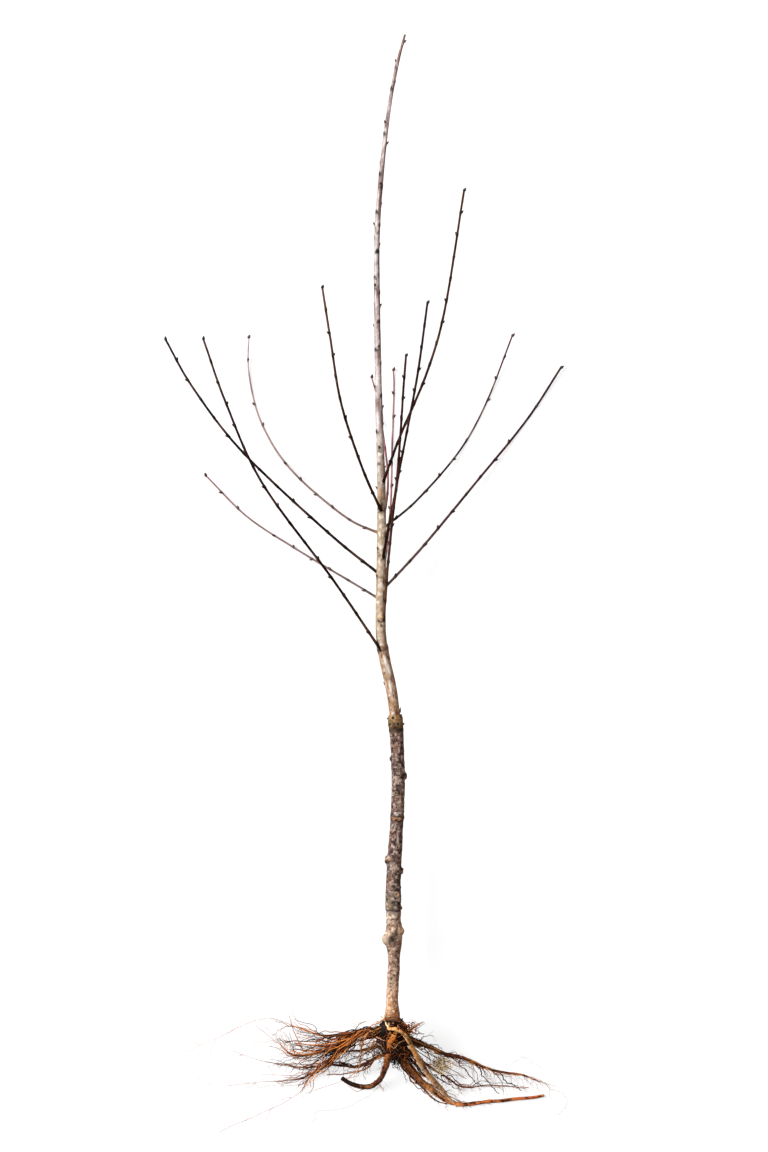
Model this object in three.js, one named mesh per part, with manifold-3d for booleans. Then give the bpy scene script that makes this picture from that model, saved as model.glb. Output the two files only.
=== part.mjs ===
// A young bare-root fruit tree of about 1.8 m, lifted in winter and laid on a flat floor.
// It has a grafted trunk, a leader, twelve unbranched shoots with buds, and its bare roots.
//
// Units are millimetres. In the sapling's own frame the stem's collar, where trunk becomes root, is at
// x = 0, y = 0. The stem runs along +Y, +X is to its right and +Z is up from the floor, which is z = 0.
// The finished group is shifted so that its origin is under the middle of its box.
import * as THREE from 'three';
import { mergeVertices } from 'three/addons/utils/BufferGeometryUtils.js';
import Module from 'manifold-3d';

const wasm = await Module();
wasm.setup();

// ---------------------------------------------------------------- driving sizes

const GAP = 0.3; // clearance between neighbouring pieces
const TRUNK_FOOT = -70; // lowest point of the root crown, along the stem
const TRUNK_TOP = 500; // the old pruning cut, where the leader takes over
const LEADER_TIP = 1620;

// The stem's middle line: [along the stem, sideways, height above the floor].
const STEM_LINE = [
  [-70, 8, 74], [-20, 4, 82], [30, 2, 85], [100, 5, 87], [220, 4, 87], [330, 10, 86], [400, 12, 85],
  [470, 9, 84], [505, 6, 84], [545, 0, 85], [600, -12, 87], [640, -17, 88], [750, -16, 91],
  [860, -15.5, 95], [1010, -20, 101], [1180, -23, 107], [1290, -23, 111], [1400, -15, 116],
  [1500, -3, 120], [1570, 10, 123], [1620, 23, 125],
];

// Half the stem's thickness: [along the stem, radius].
const TRUNK_GIRTH = [
  [-70, 6], [-60, 13], [-44, 18], [-26, 18], [-10, 14], [6, 12.2], [30, 10.2], [95, 9.9], [112, 11.3],
  [130, 13.6], [142, 13.7], [156, 12.4], [172, 12.4], [179, 13.8], [190, 13.5], [230, 12.2], [262, 12],
  [300, 11.1], [325, 11], [331, 12], [338, 11.1], [400, 11.1], [462, 11], [470, 11.5], [478, 12.6], [492, 12.4],
  [500, 11.2],
];
const LEADER_GIRTH = [
  [500, 8.8], [560, 9.2], [604, 9.1], [611, 9.6], [619, 8.7], [700, 8.2], [860, 7.2], [960, 6.4], [1060, 5.7],
  [1170, 5.1], [1300, 4.6], [1400, 4], [1500, 3.2], [1580, 2.6], [1620, 1.7],
];

// Knots and stubs on the stem: [along the stem, degrees round it from +X towards +Z, radius], and how deep
// each is sunk in it as a share of its radius, where that isn't KNOT_SINK.
const TRUNK_KNOTS = [
  [-16, 165, 15], [-42, 185, 18], [-54, 150, 14], [-18, 20, 11], [-36, 345, 13], [-54, 20, 9], [-30, 265, 12],
  [143, 8, 10, 0.65], [129, 172, 12, 0.5], [136, 95, 9], [134, 265, 9], // the swollen graft union
  [216, 95, 5], [243, 12, 7], [260, 178, 8], [300, 250, 5], // healed side shoots
  [329, 80, 7], [399, 0, 6.2], [428, 180, 4.5],
];
const LEADER_KNOTS = [[662, 84, 4.6], [773, 88, 4.4]];
const LEADER_THORNS = [[502, 4, 1.6], [550, 178, 1.2]]; // dead buds: [along, degrees, size]
const PRUNING_STUBS = { foot: 484, stagger: 11, turn: 10, count: 11, radius: 2.4 }; // round the old cut

// A shoot leaves the stem at `from`, `out` to the side of its middle line and `up` from it, and passes
// through [sideways, along, clearance under it].
const COLLAR_FALL = 40; // how fast the collar at a shoot's foot narrows to the shoot
const POINT_TIP = 0.2; // how thick a pointed limb's end is left, as a share of its radius
const DARK_SHOOT = { thick: 2.3, thin: 1.8, collar: 0.9, bark: 'dark_shoot_bark' };
const PALE_SHOOT = { thick: 2, thin: 1.3, collar: 1.6, bark: 'pale_shoot_bark' };
const SHOOTS = {
  shoot_left_lowest: {
    ...DARK_SHOOT, from: 606, out: -3, up: 5,
    via: [[-96, 724, 122], [-210, 880, 165], [-269, 1010, 185], [-306, 1115, 196]],
  },
  shoot_left_longest: {
    ...DARK_SHOOT, from: 730,
    via: [[-105, 802, 104], [-244, 933, 116], [-326, 1039, 114], [-371, 1118, 108]],
  },
  shoot_left_floor: {
    ...PALE_SHOOT, from: 690,
    via: [[-72, 723, 45], [-161, 776, 6], [-241, 829, 0], [-308, 896, 8]],
  },
  shoot_left_bowed: {
    ...PALE_SHOOT, from: 798,
    via: [[-78, 829, 40], [-169, 909, 4], [-218, 989, 0], [-237, 1069, 3], [-237, 1126, 12]],
  },
  shoot_left_upright: {
    ...DARK_SHOOT, from: 837, out: -1, up: 5,
    via: [[-47, 906, 150], [-81, 1009, 220], [-98, 1111, 270], [-111, 1194, 300]],
  },
  shoot_right_tallest: {
    ...DARK_SHOOT, from: 884, out: 3, up: 4,
    via: [[15, 959, 130], [59, 1063, 175], [88, 1166, 210], [118, 1353, 262]],
  },
  shoot_right_floor: {
    ...PALE_SHOOT, from: 806,
    via: [[43, 855, 40], [113, 936, 4], [158, 1016, 0], [202, 1129, 14]],
  },
  shoot_right_longest: {
    ...DARK_SHOOT, thick: 2.2, from: 703,
    via: [[51, 776, 50], [139, 882, 14], [226, 989, 0], [283, 1076, 6]],
  },
  shoot_raised_tall: {
    ...DARK_SHOOT, from: 656, out: 5, up: 5,
    via: [[-4, 760, 150], [8, 869, 235], [24, 955, 290], [43, 1057, 335], [58, 1166, 365]],
  },
  shoot_raised_short: {
    ...DARK_SHOOT, from: 759, out: 3, up: 5,
    via: [[-4, 811, 122], [8, 873, 165], [15, 957, 215], [20, 1034, 260], [24, 1085, 285]],
  },
  shoot_under_left: {
    ...PALE_SHOOT, from: 800,
    via: [[-5, 884, 35], [-14, 973, 8], [-23, 1026, 0], [-32, 1060, 6]],
  },
  shoot_under_right: {
    ...PALE_SHOOT, from: 704,
    via: [[-7, 777, 45], [0, 856, 18], [2, 944, 2], [5, 1038, 0], [4, 1072, 3]],
  },
};
const BUDS = {
  spacing: 36,
  radius: 2.1,
  length: 7,
  forward: 0.76, // how far a bud points along its limb, and outward from it
  outward: 0.6,
  seat: 0.55, // where its middle line starts, as a share of the limb's radius
  ahead: 0.34, // how far its middle lies beyond that, as a share of its length
  tipSize: 1.25,
};
const LEADER_BUDS = { count: 27, from: 740, to: 1608 };
const GOLDEN_ANGLE = Math.PI * (3 - Math.sqrt(5)); // the turn from one bud or rootlet to the next

// A root leaves the crown at `from` and passes through [sideways, along, clearance under it].
// Its rootlets lean along it and then droop, and `reach` is the length of the longest. `forks` are thin
// branches of it, from a point on its line. A root with `cut` was pruned when the tree was lifted, and one
// with `pointed` narrows to a point over that last share of its length.
const ROOTS = {
  root_right_thick: {
    from: -44, out: 4, thick: 6.6, thin: 2.6, rootlets: 4, reach: 45, cut: true,
    via: [[17, -68, 62], [43, -107, 26], [65, -125, 12], [86, -142, 3], [110, -151, 0], [139, -152, 0],
      [178, -146, 0], [254, -138, 0]],
  },
  root_right_upper: {
    from: -28, out: 10, thick: 4.6, thin: 0.5, rootlets: 16, reach: 85, droop: [0.25, -1.1, -0.35],
    via: [[37, -37, 76], [78, -56, 56], [130, -74, 38], [167, -92, 22], [214, -99, 8], [250, -112, 1],
      [274, -120, 0]],
    forks: [
      [[115, -70, 42], [119, -85, 34], [140, -109, 16], [153, -119, 8]],
      [[147, -82, 31], [153, -100, 20], [168, -119, 8], [183, -135, 0]],
      [[178, -94, 18], [192, -108, 12], [205, -120, 4], [222, -126, 0]],
    ],
  },
  root_left_core: {
    from: -26, out: -10, thick: 6, thin: 0.5, taper: 1.7, rootlets: 14, reach: 85,
    via: [[-57, -37, 58], [-103, -58, 30], [-160, -70, 14], [-188, -49, 16], [-226, -18, 18]],
  },
  root_loop: {
    from: -10, out: 4, thick: 6, thin: 3.4, rootlets: 3, reach: 40, cut: true,
    via: [[9, -23, 94], [0, -42, 94], [-3, -63, 80], [-9, -88, 52], [-15, -105, 26], [-28, -118, 8],
      [-46, -122, 0], [-65, -118, 0], [-80, -106, 0]],
  },
  root_left_top: {
    from: -14, out: -8, thick: 3.8, thin: 0.4, taper: 2.2, rootlets: 14, reach: 70,
    via: [[-41, -21, 84], [-109, -35, 56], [-149, -23, 50], [-212, -6, 40], [-299, -44, 22], [-348, -65, 8]],
    forks: [[[-109, -35, 57], [-126, -41, 46], [-175, -43, 36], [-189, -40, 32]]],
  },
  root_left_middle: {
    from: -52, out: -6, thick: 4.2, thin: 0.4, taper: 1.3, rootlets: 8, reach: 50,
    via: [[-21, -68, 56], [-57, -87, 12], [-100, -85, 0], [-153, -90, 0], [-227, -76, 0], [-265, -61, 0]],
  },
  root_left_low: {
    from: -22, out: -12, thick: 3.2, thin: 0.4, taper: 1.7, rootlets: 8, reach: 55,
    via: [[-52, -32, 76], [-92, -67, 42], [-134, -106, 8], [-157, -134, 0], [-215, -165, 0], [-287, -198, 0]],
  },
  root_left_far: {
    from: -30, out: -12, thick: 4, thin: 0.4, taper: 1.4, rootlets: 8, reach: 60,
    via: [[-50, -36, 60], [-70, -50, 42], [-98, -74, 20], [-128, -96, 8], [-160, -109, 0], [-216, -114, 0],
      [-272, -121, 0]],
  },
  root_left_upper: {
    from: -18, out: -12, thick: 2.8, thin: 0.8, rootlets: 6, reach: 55,
    via: [[-40, -26, 72], [-72, -36, 60], [-111, -50, 46], [-160, -48, 34]],
  },
  root_left_thin: {
    from: -54, out: -2, thick: 1.8, thin: 0.8, rootlets: 2, reach: 40,
    via: [[-26, -72, 40], [-40, -90, 16], [-69, -100, 2], [-108, -102, 0]],
  },
  root_left_pale: {
    from: -10, out: -6, thick: 1.1, thin: 0.5, rootlets: 2, reach: 45,
    via: [[-24, -19, 98], [-40, -26, 98], [-50, -58, 66], [-53, -88, 32], [-79, -110, 4], [-143, -134, 0]],
  },
  root_front_pale: {
    from: -2, out: -4, thick: 1.4, thin: 4.8, taper: 2, pointed: 0.2, rootlets: 2, reach: 40, cut: true,
    via: [[-4, -16, 110], [9, -16, 116], [24, -26, 108], [39, -57, 84], [56, -87, 54], [82, -122, 22],
      [110, -156, 4]],
  },
  root_right_middle: {
    from: -46, out: 12, thick: 2.6, thin: 0.6, rootlets: 9, reach: 55,
    via: [[50, -75, 48], [75, -95, 30], [97, -107, 20], [120, -122, 10], [164, -120, 2], [229, -125, 0]],
  },
  root_right_dark: {
    from: -36, out: 8, thick: 4, thin: 1, rootlets: 6, reach: 50,
    via: [[24, -54, 74], [35, -72, 56], [52, -94, 36], [68, -108, 26]],
  },
  root_right_under: {
    from: -50, out: 0, thick: 2.6, thin: 0.8, rootlets: 3, reach: 45,
    via: [[16, -80, 28], [36, -108, 6], [54, -125, 0], [68, -139, 0], [80, -147, 0], [93, -151, 0]],
  },
  root_right_top: {
    from: -12, out: 6, thick: 2.4, thin: 0.8, rootlets: 5, reach: 30,
    via: [[24, -24, 88], [38, -15, 92], [50, -8, 92]],
  },
  root_under_left: {
    from: -34, out: -6, thick: 4.6, thin: 0.8, rootlets: 5, reach: 50,
    via: [[-14, -44, 38], [-34, -58, 10], [-62, -64, 0], [-104, -62, 0]],
  },
  root_under_right: {
    from: -34, out: 6, thick: 5, thin: 0.8, rootlets: 6, reach: 55,
    via: [[26, -44, 36], [57, -52, 10], [86, -64, 0], [109, -70, 0], [129, -78, 0]],
  },
};
const ROOTLET = {
  thick: 0.9,
  thin: 0.45,
  steps: 3,
  sides: 3,
  first: 0.16, // the stretch of the root that carries them, as shares of its length
  last: 0.92,
  lean: 0.6, // how far one leaves its root sideways, strays at each step and droops
  stray: 0.9,
  droop: 0.6,
  foot: 1.1, // its length as a share of `reach`: this at the root's foot, less by `fall` at its tip
  fall: 0.6,
  shortest: 0.4, // and then any share from this to 1
};
const FORK = { thick: 1.1, thin: 0.5, steps: 7, sides: 3 };
const ROOTLET_DROOP = [0, -0.35, -0.15];
const CROWN_FIBRES = { count: 20, from: -62, to: -4, shortest: 0.3, reach: 22, back: 14, seed: 70 };

const BARKS = {
  old_bark: { color: '#6b5d55', roughness: 0.9 },
  young_bark: { color: '#b39e8c', roughness: 0.6 },
  dark_shoot_bark: { color: '#4a2f2a', roughness: 0.5 },
  pale_shoot_bark: { color: '#9c6a63', roughness: 0.5 },
  root_bark: { color: '#94521f', roughness: 0.8 },
  fibrous_root: { color: '#6e3a1c', roughness: 0.9 },
};
const SIDES = { trunk: 11, leader: 7, limb: 5, bud: 3 };
const KNOT_SIDES = [6, 4];
const KNOT_SINK = 0.35; // of its radius
const BALL_GROWTH = 1.3; // a coarse ball's faces lie this much further in than its corners
const RING_SPACING = { trunk: 15, leader: 42, shoot: 50, root: 22 };

// ---------------------------------------------------------------- curves

// The value of a table at s, on a smooth curve through its rows [s, value, value, ...].
function along(table, s) {
  let i = table.findIndex((row) => row[0] >= s);
  i = THREE.MathUtils.clamp(i < 0 ? table.length - 1 : i, 1, table.length - 1);
  const rows = [i - 2, i - 1, i, i + 1].map((k) => table[THREE.MathUtils.clamp(k, 0, table.length - 1)]);
  const [before, low, high, after] = rows;
  const span = high[0] - low[0];
  const t = (s - low[0]) / span;
  const slope = (a, b, k) => ((b[k] - a[k]) / (b[0] - a[0])) * span;
  return low.slice(1).map((value, n) => {
    const k = n + 1;
    const start = slope(before, high, k);
    const end = slope(low, after, k);
    const rise = high[k] - value;
    return value + t * (start + t * (3 * rise - 2 * start - end + t * (start + end - 2 * rise)));
  });
}

function stemPoint(s) {
  const [x, z] = along(STEM_LINE, s);
  return new THREE.Vector3(x, s, z);
}

const stemHeading = (s) => stemPoint(s + 1).sub(stemPoint(s - 1)).normalize();

// A limb's middle line and thickness. Its waypoints give the clearance under it, never less than none.
class Limb extends THREE.Curve {
  constructor(waypoints, { thick, thin, taper = 1, collar = 0, pointed = 0 }) {
    super();
    const points = waypoints.map((w) => new THREE.Vector3(...w));
    this.line = new THREE.CatmullRomCurve3(points, false, 'catmullrom', 0.5);
    Object.assign(this, { thick, thin, taper, collar, pointed });
  }

  radius(t) {
    const narrowing = (this.thick - this.thin) * (1 - t) ** this.taper;
    const pointing = this.pointed ? Math.min(1, POINT_TIP + (1 - t) / this.pointed) : 1;
    return (this.thin + narrowing) * pointing + this.collar * Math.exp(-t * COLLAR_FALL);
  }

  getPoint(t) {
    const point = this.line.getPoint(t);
    point.z = Math.max(point.z, 0) + this.radius(t);
    return point;
  }
}

// Numbers between 0 and 1 that are the same on every run.
function seeded(seed) {
  let state = seed;
  return () => {
    state = (state + 0x6d2b79f5) | 0;
    let mixed = Math.imul(state ^ (state >>> 15), 1 | state);
    mixed = (mixed + Math.imul(mixed ^ (mixed >>> 7), 61 | mixed)) ^ mixed;
    return ((mixed ^ (mixed >>> 14)) >>> 0) / 4294967296;
  };
}

// Two directions across a heading: sideways along the floor, and up from it.
function across(heading) {
  const sideways = new THREE.Vector3().crossVectors(heading, new THREE.Vector3(0, 0, 1));
  if (sideways.length() < 1e-3) sideways.set(1, 0, 0);
  sideways.normalize();
  return { sideways, upward: new THREE.Vector3().crossVectors(sideways, heading).normalize() };
}

function outward(heading, angle) {
  const { sideways, upward } = across(heading);
  return sideways.multiplyScalar(Math.cos(angle)).addScaledVector(upward, Math.sin(angle));
}

// ---------------------------------------------------------------- solids

function solidOf(geometry) {
  const bare = geometry.clone();
  bare.deleteAttribute('normal');
  bare.deleteAttribute('uv');
  const merged = mergeVertices(bare, 1e-4);
  return new wasm.Manifold(new wasm.Mesh({
    numProp: 3,
    vertProperties: merged.attributes.position.array,
    triVerts: new Uint32Array(merged.index.array),
  }));
}

// A closed tube of rings round a line, given as functions of t from 0 to 1. `extra` grows it all over.
function tube({ centre, heading, radius }, steps, sides, extra) {
  const positions = [];
  const faces = [];
  for (let i = 0; i <= steps; i += 1) {
    const t = i / steps;
    const forward = heading(t);
    const endGrowth = i === 0 ? -extra : i === steps ? extra : 0;
    const here = centre(t).addScaledVector(forward, endGrowth);
    for (let k = 0; k < sides; k += 1) {
      const spoke = outward(forward, Math.PI / 2 + (2 * Math.PI * k) / sides);
      positions.push(...here.clone().addScaledVector(spoke, radius(t) + extra).toArray());
    }
  }
  const at = (ring, k) => ring * sides + (k % sides);
  for (let i = 0; i < steps; i += 1) {
    for (let k = 0; k < sides; k += 1) {
      faces.push(at(i, k), at(i + 1, k), at(i, k + 1), at(i, k + 1), at(i + 1, k), at(i + 1, k + 1));
    }
  }
  for (let k = 1; k < sides - 1; k += 1) {
    faces.push(0, k, k + 1, at(steps, 0), at(steps, k + 1), at(steps, k));
  }
  const geometry = new THREE.BufferGeometry();
  geometry.setAttribute('position', new THREE.Float32BufferAttribute(positions, 3));
  geometry.setIndex(faces);
  return solidOf(geometry);
}

function limbTube(limb, steps, sides, extra = 0) {
  const line = {
    centre: (t) => limb.getPoint(t),
    heading: (t) => limb.getTangent(t),
    radius: (t) => limb.radius(t),
  };
  return tube(line, steps, sides, extra);
}

function stemTube(girth, from, to, spacing, sides, extra = 0) {
  const where = (t) => THREE.MathUtils.lerp(from, to, t);
  const line = {
    centre: (t) => stemPoint(where(t)),
    heading: (t) => stemHeading(where(t)),
    radius: (t) => along(girth, where(t))[0],
  };
  return tube(line, Math.round((to - from) / spacing), sides, extra);
}

// A knot is a ball sunk to just over its middle in the stem.
function knot([s, degrees, radius, sink = KNOT_SINK], girth, extra = 0) {
  const spoke = outward(stemHeading(s), THREE.MathUtils.degToRad(degrees));
  const centre = stemPoint(s).addScaledVector(spoke, along(girth, s)[0] - sink * radius);
  const ball = new THREE.SphereGeometry(radius + extra * BALL_GROWTH, ...KNOT_SIDES);
  return solidOf(ball.translate(...centre.toArray()));
}

// A pointed bud that leans forward from the limb it sits on.
function bud(centre, heading, spoke, seat, size = 1) {
  const pointing = heading.clone().multiplyScalar(BUDS.forward).addScaledVector(spoke, BUDS.outward);
  pointing.normalize();
  const length = BUDS.length * size;
  const shape = new THREE.ConeGeometry(BUDS.radius * size, length, SIDES.bud);
  shape.applyQuaternion(new THREE.Quaternion().setFromUnitVectors(new THREE.Vector3(0, 1, 0), pointing));
  const middle = centre.clone().addScaledVector(spoke, seat).addScaledVector(pointing, length * BUDS.ahead);
  return solidOf(shape.translate(...middle.toArray()));
}

// Buds climb a limb in a spiral. One that the floor would crush is left out.
function buds(limb) {
  const count = Math.floor(limb.getLength() / BUDS.spacing);
  const made = [];
  for (let k = 1; k < count; k += 1) {
    const t = limb.getUtoTmapping(k / count);
    const heading = limb.getTangent(t);
    const spoke = outward(heading, k * GOLDEN_ANGLE);
    const here = limb.getPoint(t);
    const radius = limb.radius(t);
    if (here.z + spoke.z * BUDS.length > radius) made.push(bud(here, heading, spoke, radius * BUDS.seat));
  }
  const heading = limb.getTangent(1);
  made.push(bud(limb.getPoint(1), heading, outward(heading, 1), 0, BUDS.tipSize));
  return made;
}

function leaderBud(s, angle, size) {
  const heading = stemHeading(s);
  return bud(stemPoint(s), heading, outward(heading, angle), along(LEADER_GIRTH, s)[0], size);
}

// The leader's buds climb it in a spiral, above its few thorn-like dead ones.
function leaderBuds() {
  const { count, from, to } = LEADER_BUDS;
  const living = Array.from({ length: count }, (_, k) =>
    leaderBud(THREE.MathUtils.lerp(from, to, k / (count - 1)), k * GOLDEN_ANGLE, 1));
  const dead = LEADER_THORNS.map(([s, degrees, size]) => leaderBud(s, THREE.MathUtils.degToRad(degrees), size));
  return [...living, ...dead];
}

// ---------------------------------------------------------------- clearances

const boxesMeet = (a, b, reach) => {
  const [p, q] = [a.boundingBox(), b.boundingBox()];
  return [0, 1, 2].every((i) => p.min[i] < q.max[i] + reach && q.min[i] < p.max[i] + reach);
};
const touches = (a, b) => boxesMeet(a, b, GAP) && a.minGap(b, GAP) < GAP * 0.99;
const largest = (solid) => solid.decompose().reduce((a, b) => (b.volume() > a.volume() ? b : a));

// ---------------------------------------------------------------- the sapling

const pieces = new Map(); // name: { solid, bark }
const spaces = []; // each piece's core, grown by the gap, that later pieces are cut clear of

function place(name, solid, bark, space) {
  pieces.set(name, { solid, bark });
  spaces.push(space);
}

function cutClear(solid) {
  const near = spaces.filter((space) => boxesMeet(solid, space, 0));
  return near.length ? largest(near.reduce((left, space) => left.subtract(space), solid)) : solid;
}

function stemPiece(size, knots, extra = 0) {
  const [girth] = size;
  const lumps = knots.map((k) => knot(k, girth, extra));
  return wasm.Manifold.union([stemTube(...size, extra), ...lumps]);
}

function makeTrunk() {
  const size = [TRUNK_GIRTH, TRUNK_FOOT, TRUNK_TOP, RING_SPACING.trunk, SIDES.trunk];
  const { foot, stagger, turn, count, radius } = PRUNING_STUBS;
  const places = Array.from({ length: count }, (_, k) => [foot + stagger * (k % 2), turn + (360 * k) / count]);
  const stubs = places.map((place) => [...place, radius]);
  const knots = [...TRUNK_KNOTS, ...stubs];
  place('trunk', stemPiece(size, knots), 'old_bark', stemPiece(size, knots, GAP));
}

function makeLeader() {
  const size = [LEADER_GIRTH, TRUNK_TOP + GAP, LEADER_TIP, RING_SPACING.leader, SIDES.leader];
  place('leader', stemPiece(size, LEADER_KNOTS), 'young_bark', stemPiece(size, LEADER_KNOTS, GAP));
}

// A limb starts inside the stem and is cut clear of what is there.
function makeLimb(name, size, ringSpacing, bark) {
  const base = stemPoint(size.from);
  const { out = 0, up = 0, thick, via } = size;
  const limb = new Limb([[base.x + out, base.y, base.z + up - thick], ...via], size);
  const steps = Math.round(limb.getLength() / ringSpacing);
  place(name, cutClear(limbTube(limb, steps, SIDES.limb)), bark, limbTube(limb, steps, SIDES.limb, GAP));
  return limb;
}

// Rootlets leave a root in a spiral, shorter towards its tip, lean along it, stray and droop.
function rootlets(limb, { rootlets: count, reach, droop = ROOTLET_DROOP }, seed) {
  const random = seeded(seed);
  const pull = new THREE.Vector3(...droop);
  return Array.from({ length: count }, (_, k) => {
    const t = THREE.MathUtils.lerp(ROOTLET.first, ROOTLET.last, (k + random()) / count);
    const heading = limb.getTangent(t);
    heading.addScaledVector(outward(heading, k * GOLDEN_ANGLE + random()), ROOTLET.lean).normalize();
    const longest = reach * (ROOTLET.foot - ROOTLET.fall * t);
    const stride = (longest * THREE.MathUtils.lerp(ROOTLET.shortest, 1, random())) / ROOTLET.steps;
    const here = limb.getPoint(t);
    const waypoints = [[here.x, here.y, here.z - ROOTLET.thick]];
    for (let step = 0; step < ROOTLET.steps; step += 1) {
      const stray = new THREE.Vector3(random() - 0.5, random() - 0.5, random() - 0.5);
      heading.addScaledVector(stray, ROOTLET.stray).addScaledVector(pull, ROOTLET.droop).normalize();
      here.addScaledVector(heading, stride);
      waypoints.push([here.x, here.y, here.z - ROOTLET.thick]);
    }
    return limbTube(new Limb(waypoints, ROOTLET), ROOTLET.steps, ROOTLET.sides);
  });
}

const fork = (line) => limbTube(new Limb(line, FORK), FORK.steps, FORK.sides);

// Buds and rootlets are joined to the piece that they grow from. One that would touch another is skipped.
function join(name, growths) {
  const piece = pieces.get(name);
  const others = [...pieces].filter(([other]) => other !== name).map(([, { solid }]) => solid);
  const free = growths.filter((growth) => !others.some((other) => touches(growth, other)));
  piece.solid = largest(wasm.Manifold.union([piece.solid, ...free]));
}

// Short fibres that bristle from the root crown.
function crownFibres() {
  const { count, from, to, shortest, reach, back, seed } = CROWN_FIBRES;
  const random = seeded(seed);
  return Array.from({ length: count }, (_, k) => {
    const s = THREE.MathUtils.lerp(from, to, random());
    const start = stemPoint(s);
    const length = along(TRUNK_GIRTH, s)[0] + reach * (shortest + random());
    const end = start.clone().addScaledVector(outward(stemHeading(s), k * GOLDEN_ANGLE), length);
    end.y -= back * random();
    const ends = [start, end].map((p) => [p.x, p.y, p.z - ROOTLET.thick]);
    return limbTube(new Limb(ends, ROOTLET), 1, ROOTLET.sides);
  });
}

makeTrunk();
makeLeader();
const shootLimbs = Object.entries(SHOOTS).map(([name, shoot]) =>
  makeLimb(name, shoot, RING_SPACING.shoot, shoot.bark));
const rootLimbs = Object.entries(ROOTS).map(([name, root]) =>
  makeLimb(name, root, RING_SPACING.root, root.cut ? 'root_bark' : 'fibrous_root'));
Object.keys(SHOOTS).forEach((name, k) => join(name, buds(shootLimbs[k])));
join('leader', leaderBuds());
Object.entries(ROOTS).forEach(([name, root], k) => {
  join(name, [...(root.forks ?? []).map(fork), ...rootlets(rootLimbs[k], root, k + 1)]);
});
join('trunk', crownFibres());

// ---------------------------------------------------------------- the group

function meshOf(name, { solid, bark }) {
  const { vertProperties, triVerts } = solid.getMesh();
  const geometry = new THREE.BufferGeometry();
  geometry.setAttribute('position', new THREE.BufferAttribute(vertProperties, 3));
  geometry.setIndex(new THREE.BufferAttribute(triVerts, 1));
  geometry.computeVertexNormals();
  const mesh = new THREE.Mesh(geometry, new THREE.MeshStandardMaterial({ ...BARKS[bark], metalness: 0 }));
  mesh.name = name;
  return mesh;
}

const sapling = new THREE.Group();
sapling.add(...[...pieces].map(([name, piece]) => meshOf(name, piece)));
const box = new THREE.Box3().setFromObject(sapling);
sapling.position.set(-(box.min.x + box.max.x) / 2, -(box.min.y + box.max.y) / 2, -box.min.z);

export default sapling;
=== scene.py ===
import math

import bpy
import numpy as np
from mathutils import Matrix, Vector


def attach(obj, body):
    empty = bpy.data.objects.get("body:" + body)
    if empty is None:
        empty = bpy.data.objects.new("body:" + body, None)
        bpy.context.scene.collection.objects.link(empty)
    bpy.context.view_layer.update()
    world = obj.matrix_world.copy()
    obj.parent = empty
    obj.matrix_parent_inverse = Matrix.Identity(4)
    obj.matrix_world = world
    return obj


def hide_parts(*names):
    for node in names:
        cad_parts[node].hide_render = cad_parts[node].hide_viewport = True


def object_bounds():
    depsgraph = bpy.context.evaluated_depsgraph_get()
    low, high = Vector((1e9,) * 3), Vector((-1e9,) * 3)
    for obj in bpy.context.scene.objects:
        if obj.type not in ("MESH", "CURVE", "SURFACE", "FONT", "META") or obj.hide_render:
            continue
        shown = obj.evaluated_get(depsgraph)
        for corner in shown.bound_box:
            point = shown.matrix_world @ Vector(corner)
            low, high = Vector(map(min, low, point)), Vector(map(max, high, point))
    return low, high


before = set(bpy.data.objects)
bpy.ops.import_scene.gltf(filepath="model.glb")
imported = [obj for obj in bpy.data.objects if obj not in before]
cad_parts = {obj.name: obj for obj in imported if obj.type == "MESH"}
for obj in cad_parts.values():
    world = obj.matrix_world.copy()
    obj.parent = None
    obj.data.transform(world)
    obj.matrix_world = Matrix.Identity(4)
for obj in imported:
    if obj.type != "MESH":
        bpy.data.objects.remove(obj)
cad_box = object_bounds()

# A young bare-root fruit tree laid on a pale floor: bark with its relief, buds, and roots down to fine
# hairs.
#
# Lengths are millimetres in the sapling's own frame: its collar, where trunk becomes root, is at
# x = 0, y = 0, the stem runs along +Y, +X is to its right and the floor is z = 0. COLLAR is the place of
# that frame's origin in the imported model, in metres.
COLLAR = np.array([0.04251981, -0.71104266, -0.00007639])

# ---------------------------------------------------------------- driving sizes

TRUNK_FOOT = -70
TRUNK_TOP = 500  # the old pruning cut, where the leader takes over
LEADER_TIP = 1620

# The stem's middle line: [along the stem, sideways, height above the floor].
STEM_LINE = [
    [-70, 8, 74], [-20, 4, 82], [30, 2, 85], [100, 5, 87], [220, 4, 87], [330, 10, 86], [400, 12, 85],
    [470, 9, 84], [505, 6, 84], [545, 0, 85], [600, -12, 87], [640, -17, 88], [750, -16, 91],
    [860, -15.5, 95], [1010, -20, 101], [1180, -23, 107], [1290, -23, 111], [1400, -15, 116],
    [1500, -3, 120], [1570, 10, 123], [1620, 23, 125],
]

# Half the stem's thickness: [along the stem, radius].
TRUNK_GIRTH = [
    [-70, 6], [-60, 13], [-44, 18], [-26, 18], [-10, 14], [6, 12.2], [30, 10.2], [95, 9.9], [112, 11.3],
    [130, 13.6], [142, 13.7], [156, 12.4], [172, 12.4], [179, 13.8], [190, 13.5], [230, 12.2],
    [262, 12], [300, 11.1], [325, 11], [331, 12], [338, 11.1], [400, 11.1], [462, 11],
    [470, 11.5], [478, 12.6], [492, 12.4], [500, 11.2],
]
LEADER_GIRTH = [
    [500, 8.8], [560, 9.2], [604, 9.1], [611, 9.6], [619, 8.7], [700, 8.2], [860, 7.2], [960, 6.4],
    [1060, 5.7], [1170, 5.1], [1300, 4.6], [1400, 4], [1500, 3.2], [1580, 2.6], [1620, 1.7],
]

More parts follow.
